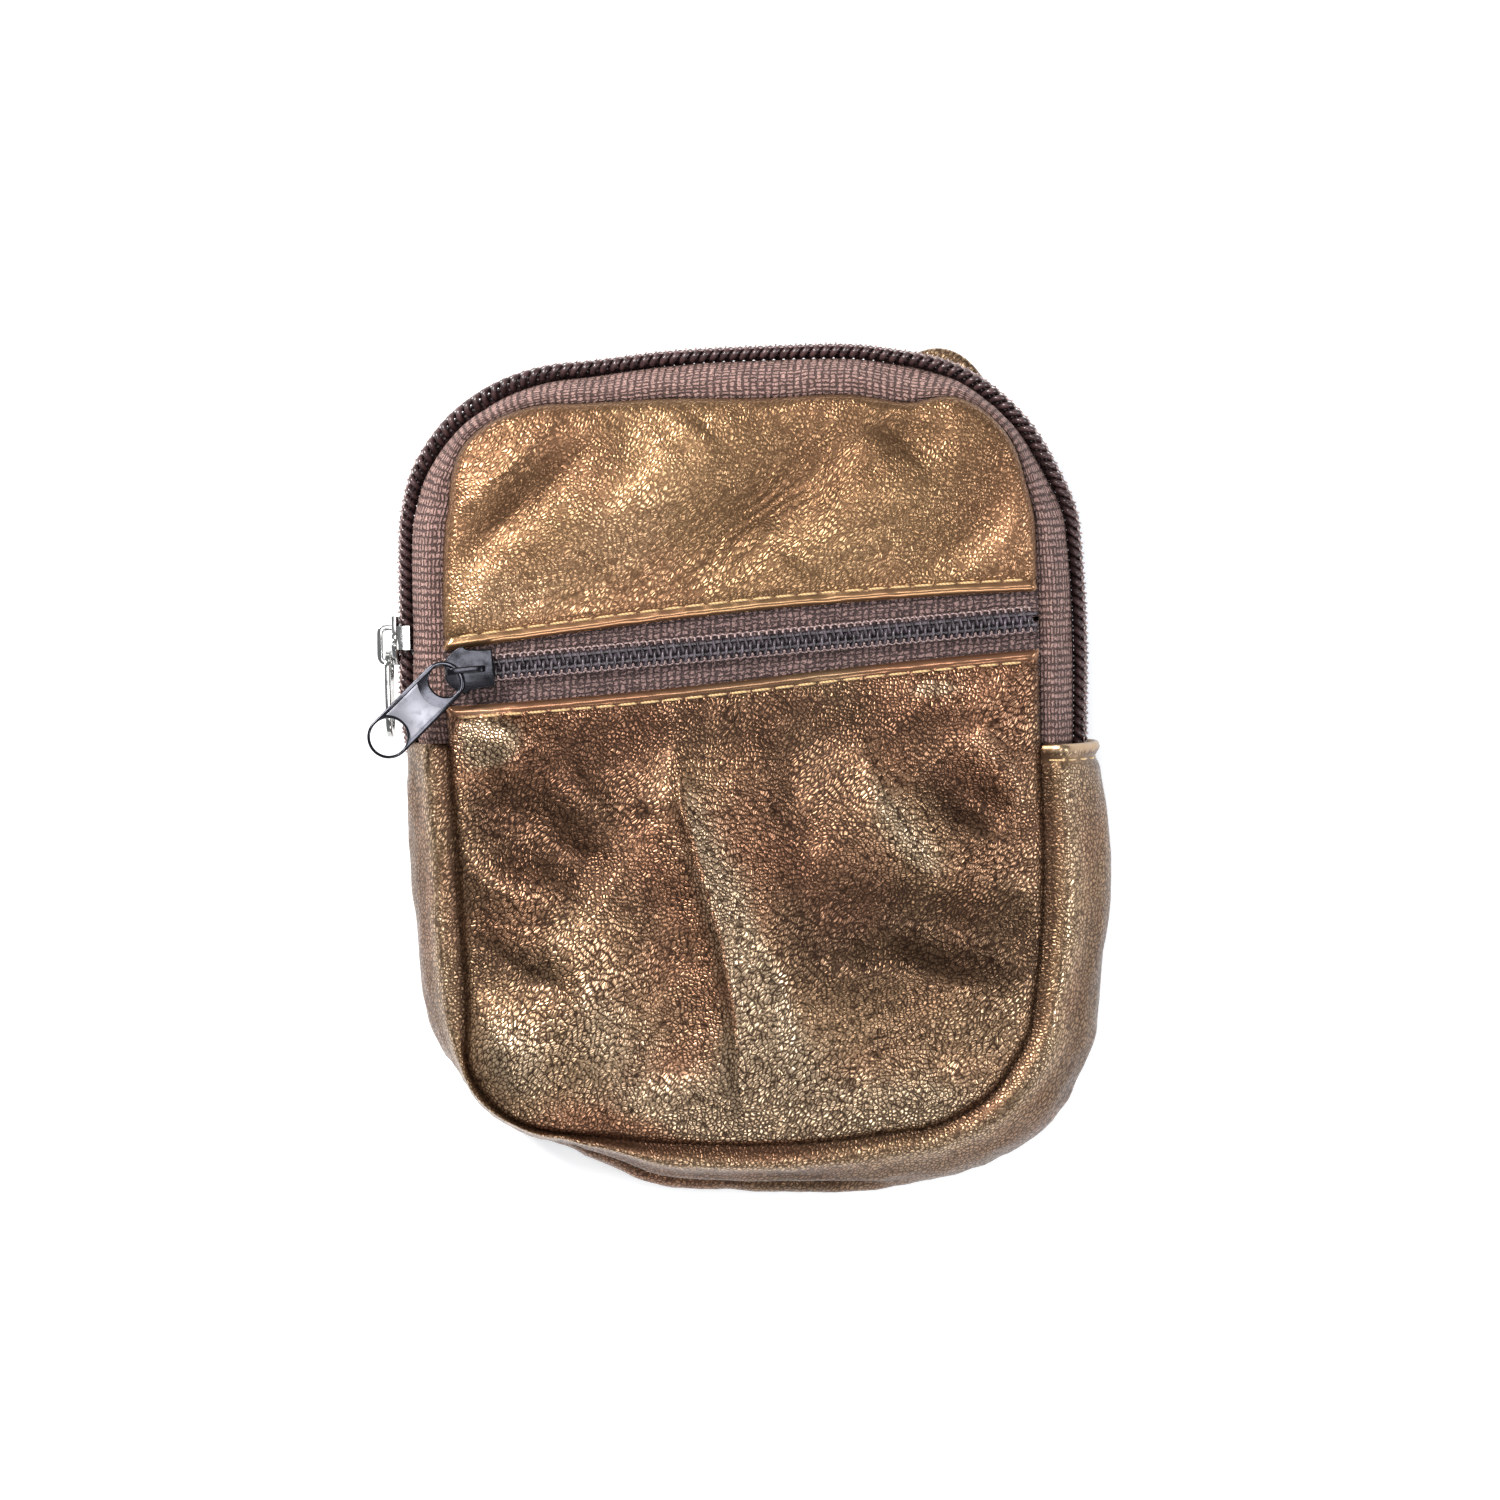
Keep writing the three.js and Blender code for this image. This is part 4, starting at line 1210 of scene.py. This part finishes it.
def webbing(name, light, dark, pitch_u, pitch_v, wander, rail=0.0):
    """A coarse weave on the strip's own length and width: cells of cross and long strokes at random.
    Nearer the coil than `rail`, it is a ladder of even ribs."""
    g = Graph(name)
    uv = g.node("UVMap", {"uv_map": "weave"}).outputs[0]
    loose = g.node("TexNoise", (), Vector=uv, Scale=1.3, Detail=2.0).outputs["Color"]
    shift = g.node("VectorMath", {"operation": "SCALE"}, i0=loose, Scale=wander).outputs[0]
    place = g.node("VectorMath", {"operation": "ADD"}, i0=uv, i1=shift).outputs[0]
    parts = g.node("SeparateXYZ", (), i0=place)
    u = g.math("DIVIDE", parts.outputs[0], pitch_u)
    v = g.math("DIVIDE", parts.outputs[1], pitch_v)
    row, column = g.math("FLOOR", u), g.math("FLOOR", v)
    spot = g.node("CombineXYZ", (), i0=row, i1=column).outputs[0]
    chance = g.node("TexWhiteNoise", {"noise_dimensions": "2D"}, Vector=spot).outputs
    ridge_u = g.math("ABSOLUTE", g.math("SINE", g.math("MULTIPLY", u, math.pi)))
    ridge_v = g.math("ABSOLUTE", g.math("SINE", g.math("MULTIPLY", v, math.pi)))
    crosswise = g.math("GREATER_THAN", chance["Value"], 0.5)
    over = g.math("MULTIPLY", g.ramp(ridge_v, 0.35, 0.95), g.ramp(ridge_u, 0.0, 0.5))
    under = g.math("MULTIPLY", g.ramp(ridge_u, 0.35, 0.95), g.ramp(ridge_v, 0.0, 0.5))
    woven = g.node("Mix", (), i0=crosswise, i2=over, i3=under).outputs[0]
    if rail:
        reach = g.math("ABSOLUTE", g.node("SeparateXYZ", (), i0=uv).outputs[1])
        ladder = g.math("ABSOLUTE", g.math("SINE", g.math("MULTIPLY", parts.outputs[0], math.pi / 0.66)))
        woven = g.node("Mix", (), i0=g.ramp(reach, rail, rail + 0.15), i2=ladder, i3=woven).outputs[0]
    uneven = g.math("FRACT", g.math("MULTIPLY", chance["Value"], 7.0))
    fibre = g.node("TexNoise", (), Vector=uv, Scale=4.5, Detail=2.0).outputs[0]
    strands = g.math("MULTIPLY", g.ramp(fibre, 0.32, 0.66, 0.35, 1.0), g.ramp(uneven, 0.0, 1.0, 0.7, 1.0))
    tone = g.math("MULTIPLY", g.ramp(woven, 0.0, 0.7, 0.16, 1.0), strands)
    full = g.math("ADD", woven, g.math("MULTIPLY", fibre, 0.45))
    return g.set(color=g.mix(tone, dark, light), rough=0.78, normal=g.bump(full, 0.0003, 1.0), specular=0.3)


def nylon(name, light, dark):
    """The coils' wound nylon, streaked and fairly glossy."""
    g = Graph(name)
    where = object_place(g)
    streak = g.noise(where, 700.0, 2.0)
    colour = g.mix(g.ramp(streak, 0.3, 0.7), dark, light)
    rough = g.ramp(g.noise(where, 1800.0, 2.0), 0.3, 0.7, 0.16, 0.32)
    return g.set(color=colour, rough=rough, normal=g.bump(streak, 0.00005, 0.3), specular=0.5)


def sewing_thread(name, light, dark):
    """Twisted thread, shown by slanted bands."""
    g = Graph(name)
    where = object_place(g)
    twist = g.node("TexWave", {"bands_direction": "DIAGONAL"}, Vector=where, Scale=900.0, Distortion=1.5)
    colour = g.mix(twist.outputs["Fac"], dark, light)
    bump = g.bump(twist.outputs["Fac"], 0.00006, 0.7)
    return g.set(color=colour, rough=0.6, normal=bump, sheen=0.3, sheen_rough=0.4)


def plated(name, bright, dull, rough_low, rough_high, metal=1.0):
    """Metal with small scuffs and a slightly uneven polish."""
    g = Graph(name)
    where = object_place(g)
    cloud = g.noise(where, 520.0, 4.0, 0.6)
    scratch_place = g.node("Mapping", (), i0=where, i3=(300.0, 3200.0, 900.0)).outputs[0]
    scratch = g.noise(scratch_place, 1.0, 3.0, 0.7)
    scuffs_and_painted_light = g.ramp(scratch, 0.62, 0.75)
    colour = g.mix(g.math("MAXIMUM", g.ramp(cloud, 0.45, 0.75), g.math("MULTIPLY", scuffs_and_painted_light, 0.6)), bright, dull)
    rough = g.math("ADD", g.ramp(cloud, 0.3, 0.7, rough_low, rough_high), g.math("MULTIPLY", scuffs_and_painted_light, 0.12))
    return g.set(color=colour, rough=rough, metal=metal, normal=g.bump(scratch, 0.00002, 0.25))


def cloth(name, light, dark):
    """The linings' fine plain weave."""
    g = Graph(name)
    where = object_place(g)
    threads = [
        g.node("TexWave", {"bands_direction": way}, Vector=where, Scale=900.0, Distortion=0.6).outputs["Fac"]
        for way in ("X", "Y")
    ]
    both = g.math("MULTIPLY", *threads)
    return g.set(color=g.mix(both, dark, light), rough=0.9, normal=g.bump(both, 0.0001, 0.6), sheen=0.2)


def studio_floor(name):
    """Lit paper: bright enough that the pouch's shadow on it stays faint."""
    g = Graph(name)
    tone = g.ramp(g.noise(object_place(g), 6.0, 3.0), 0.3, 0.7)
    g.shader.inputs["Emission Color"].default_value = rgb(0.94, 0.97, 1.0)
    g.shader.inputs["Emission Strength"].default_value = 0.42
    return g.set(color=g.mix(tone, rgb(0.80, 0.81, 0.82), rgb(0.84, 0.84, 0.84)), rough=0.7)


# ---------------------------------------------------------------- the stage
def make_camera():
    """Straight above, as the pouch was photographed, with the pouch just right of and below the middle."""
    centre = Vector((-0.9, 2.9, 10.0)) * MM
    height, seen_width = 1.6, 0.240
    data = bpy.data.cameras.new("camera")
    data.sensor_width = 36.0
    data.lens = data.sensor_width * height / seen_width
    camera = bpy.data.objects.new("camera", data)
    camera.location = centre + Vector((0, 0, height))
    camera.rotation_euler = (0, 0, 0)
    bpy.context.scene.collection.objects.link(camera)
    bpy.context.scene.camera = camera


def area_light(name, place, target, size, power, colour=(1, 1, 1)):
    data = bpy.data.lights.new(name, "AREA")
    data.shape = "RECTANGLE"
    data.size, data.size_y = size
    data.energy = power
    data.color = colour
    lamp = bpy.data.objects.new(name, data)
    lamp.location = place
    lamp.rotation_euler = (Vector(target) - Vector(place)).to_track_quat("-Z", "Y").to_euler()
    bpy.context.scene.collection.objects.link(lamp)


def make_stage():
    """A pale floor, a dim even sky and four soft lights, the key from the upper left."""
    floor = bmesh.new()
    bmesh.ops.create_grid(floor, x_segments=4, y_segments=4, size=1.5)
    mesh = bpy.data.meshes.new("floor")
    floor.to_mesh(mesh)
    floor.free()
    obj = link("floor", mesh)
    obj.location.z = -0.0001
    mesh.materials.append(studio_floor("floor_paper"))
    world = bpy.data.worlds.new("studio")
    world.use_nodes = True
    world.node_tree.nodes["Background"].inputs[0].default_value = (0.93, 0.96, 1.0, 1)
    world.node_tree.nodes["Background"].inputs[1].default_value = 0.32
    bpy.context.scene.world = world
    area_light("key", (-0.55, 0.5, 0.6), (0, 0, 0), (0.35, 0.3), 14.0, (1.0, 0.98, 0.95))
    area_light("fill", (0.7, -0.1, 0.5), (0, 0, 0), (0.25, 0.35), 3.8, (0.94, 0.97, 1.0))
    area_light("low", (0.1, -0.65, 0.5), (0, 0, 0), (0.3, 0.2), 1.8, (1.0, 0.98, 0.95))
    area_light("above", (-0.1, 0.12, 1.2), (0, 0, 0), (0.4, 0.3), 4.0)
    bpy.context.scene.view_settings.view_transform = "Standard"


# ---------------------------------------------------------------- putting it together
def dress(obj, material, body, node):
    """Gives a piece its material and its body, and hides the CAD node that it stands for."""
    obj.data.materials.clear()
    obj.data.materials.append(material)
    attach(obj, body)
    if node is not None:
        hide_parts(node)


make_camera()
make_stage()

# Each leather's glint and pale highlight colours are painted highlights; its shade colour darkens the grain
# lines and the painted shade.
UPPER_LEATHER = leather(
    "leather_upper", copper=rgb(0.455, 0.242, 0.13), gold=rgb(0.445, 0.265, 0.134),
    painted_highlight=rgb(0.44, 0.27, 0.15), shade=rgb(0.06, 0.025, 0.011),
    glint=rgb(0.68, 0.45, 0.27), contrast=0.72, relief=0.00006)
LOWER_LEATHER = leather(
    "leather_lower", copper=rgb(0.47, 0.23, 0.13), gold=rgb(0.45, 0.276, 0.155),
    painted_highlight=rgb(0.46, 0.335, 0.215), shade=rgb(0.02, 0.008, 0.004),
    glint=rgb(0.85, 0.64, 0.45), contrast=0.96, relief=0.00007)
WALL_LEATHER = leather(
    "leather_wall", copper=rgb(0.345, 0.178, 0.102), gold=rgb(0.325, 0.205, 0.114),
    painted_highlight=rgb(0.36, 0.25, 0.155), shade=rgb(0.03, 0.012, 0.006),
    glint=rgb(0.66, 0.47, 0.31), contrast=0.85, relief=0.00005)
MAIN_WEBBING = webbing("webbing_main", rgb(0.53, 0.325, 0.285), rgb(0.02, 0.008, 0.007), 1.15, 0.9, 0.9, 1.1)
POCKET_WEBBING = webbing("webbing_pocket", rgb(0.33, 0.21, 0.195), rgb(0.012, 0.006, 0.007), 1.1, 0.75, 1.3)
MAIN_NYLON = nylon("nylon_main", rgb(0.085, 0.045, 0.045), rgb(0.03, 0.016, 0.017))
POCKET_NYLON = nylon("nylon_pocket", rgb(0.10, 0.08, 0.095), rgb(0.02, 0.015, 0.018))
COIL_THREAD = sewing_thread("coil_thread", rgb(0.48, 0.34, 0.32), rgb(0.13, 0.08, 0.08))
GOLD_THREAD = sewing_thread("gold_thread", rgb(0.72, 0.50, 0.24), rgb(0.42, 0.25, 0.10))
NICKEL = plated("nickel", rgb(0.44, 0.44, 0.43), rgb(0.15, 0.15, 0.15), 0.1, 0.22)
GUNMETAL = plated("gunmetal", rgb(0.022, 0.022, 0.027), rgb(0.008, 0.008, 0.010), 0.14, 0.26, 0.9)
PULL_EDGE = plated("pull_edge", rgb(0.04, 0.04, 0.048), rgb(0.018, 0.018, 0.022), 0.1, 0.2, 0.95)
PULL_SATIN = plated("pull_satin", rgb(0.33, 0.33, 0.37), rgb(0.22, 0.22, 0.25), 0.4, 0.52)
LINING_CLOTH = cloth("lining_cloth", rgb(0.17, 0.13, 0.11), rgb(0.07, 0.05, 0.045))

lower_panel = panel("front_lower_leather", lower_lip_y, False, LOWER_FOLDS, LOWER_CREASES, LOWER_PAINTED_LIGHT_AND_SHADE,
                    LOWER_LINES, 3.4, 3)
upper_panel = panel("front_upper_leather", upper_lip_y, True, UPPER_FOLDS, UPPER_CREASES, UPPER_PAINTED_LIGHT_AND_SHADE,
                    UPPER_LINES, 2.3, 11)
gusset, gusset_lining, tapes = make_wall()
back = flat_sheet("back_leather", 0.0, 0.0, LEATHER, flare=8.0)
back_lining = flat_sheet("back_lining_cloth", 1.6, WALL_LOW + 0.1, WALL_LOW + 0.5)
pocket_lining = flat_sheet("pocket_lining_cloth", 2.4, EDGE_DEPTH - 2.9, EDGE_DEPTH - 2.5, pocket_sag)
main_coils = make_main_coils()
pocket_coils = make_pocket_coils()

dress(lower_panel, LOWER_LEATHER, "pouch", "front_lower_panel")
dress(upper_panel, UPPER_LEATHER, "pouch", "front_upper_panel")
dress(gusset, WALL_LEATHER, "pouch", "gusset")
dress(back, WALL_LEATHER, "pouch", "back_panel")
for lining, node, resting in (
    (gusset_lining, "gusset_lining", "gusset"), (back_lining, "back_lining", "back_panel"),
    (pocket_lining, "pocket_lining", "front_lower_panel"),
):
    dress(lining, LINING_CLOTH, "pouch", node)
    width, length, area = flat_size(lining)
for side in ("front", "back"):
    dress(tapes[side], MAIN_WEBBING, "pouch", f"main_tape_{side}")
    dress(main_coils[side], MAIN_NYLON, "pouch", f"main_coil_{side}")
    dress(main_coils[side + "_thread"], COIL_THREAD, "pouch", None)
for side, sign in (("upper", 1), ("lower", -1)):
    dress(pocket_tape(side, sign), POCKET_WEBBING, "pouch", f"pocket_tape_{side}")
    dress(pocket_coils[side], POCKET_NYLON, "pouch", f"pocket_coil_{side}")
    dress(pocket_coils[side + "_thread"], COIL_THREAD, "pouch", None)

for side, piece, lip, sign in (
    ("upper", upper_panel, upper_lip_y, 1), ("lower", lower_panel, lower_lip_y, -1),
):
    stitches = lip_stitches(side, piece, lip, sign)
    dress(stitches, GOLD_THREAD, "pouch", f"pocket_stitch_{side}")
for side in ("left", "right"):
    dress(hem_stitches(side, side == "right"), GOLD_THREAD, "pouch", f"hem_stitch_{side}")

SLIDERS = (
    ("main", MAIN, 1.8, 3.0, 1.7, MAIN_PLATE_TOP, NICKEL, "nickel"),
    ("pocket", POCKET, 1.6, 2.4, 1.0, POCKET_PLATE_TOP, GUNMETAL, "gunmetal"),
)
for name, axes, coil_height, channel, below, plate_top, metal, slot in SLIDERS:
    body = make_slider(name, axes, coil_height, channel, below)
    arch = make_bridge(name, axes, plate_top, 1.0)
    for obj, node in ((body, "body"), (arch, "bridge")):
        smooth_by_angle(obj)
        dress(obj, metal, f"{name}_slider", f"{name}_slider_{node}")

pull_plate, pull_place = make_pocket_pull()
pull_faces = make_pull_faces(*pull_place)
main_pull = make_main_pull()
for obj in (pull_plate, pull_faces, main_pull):
    smooth_by_angle(obj)
dress(pull_plate, PULL_EDGE, "pocket_pull", "pocket_pull")
dress(pull_faces, PULL_SATIN, "pocket_pull", None)
dress(main_pull, NICKEL, "main_pull", "main_pull")
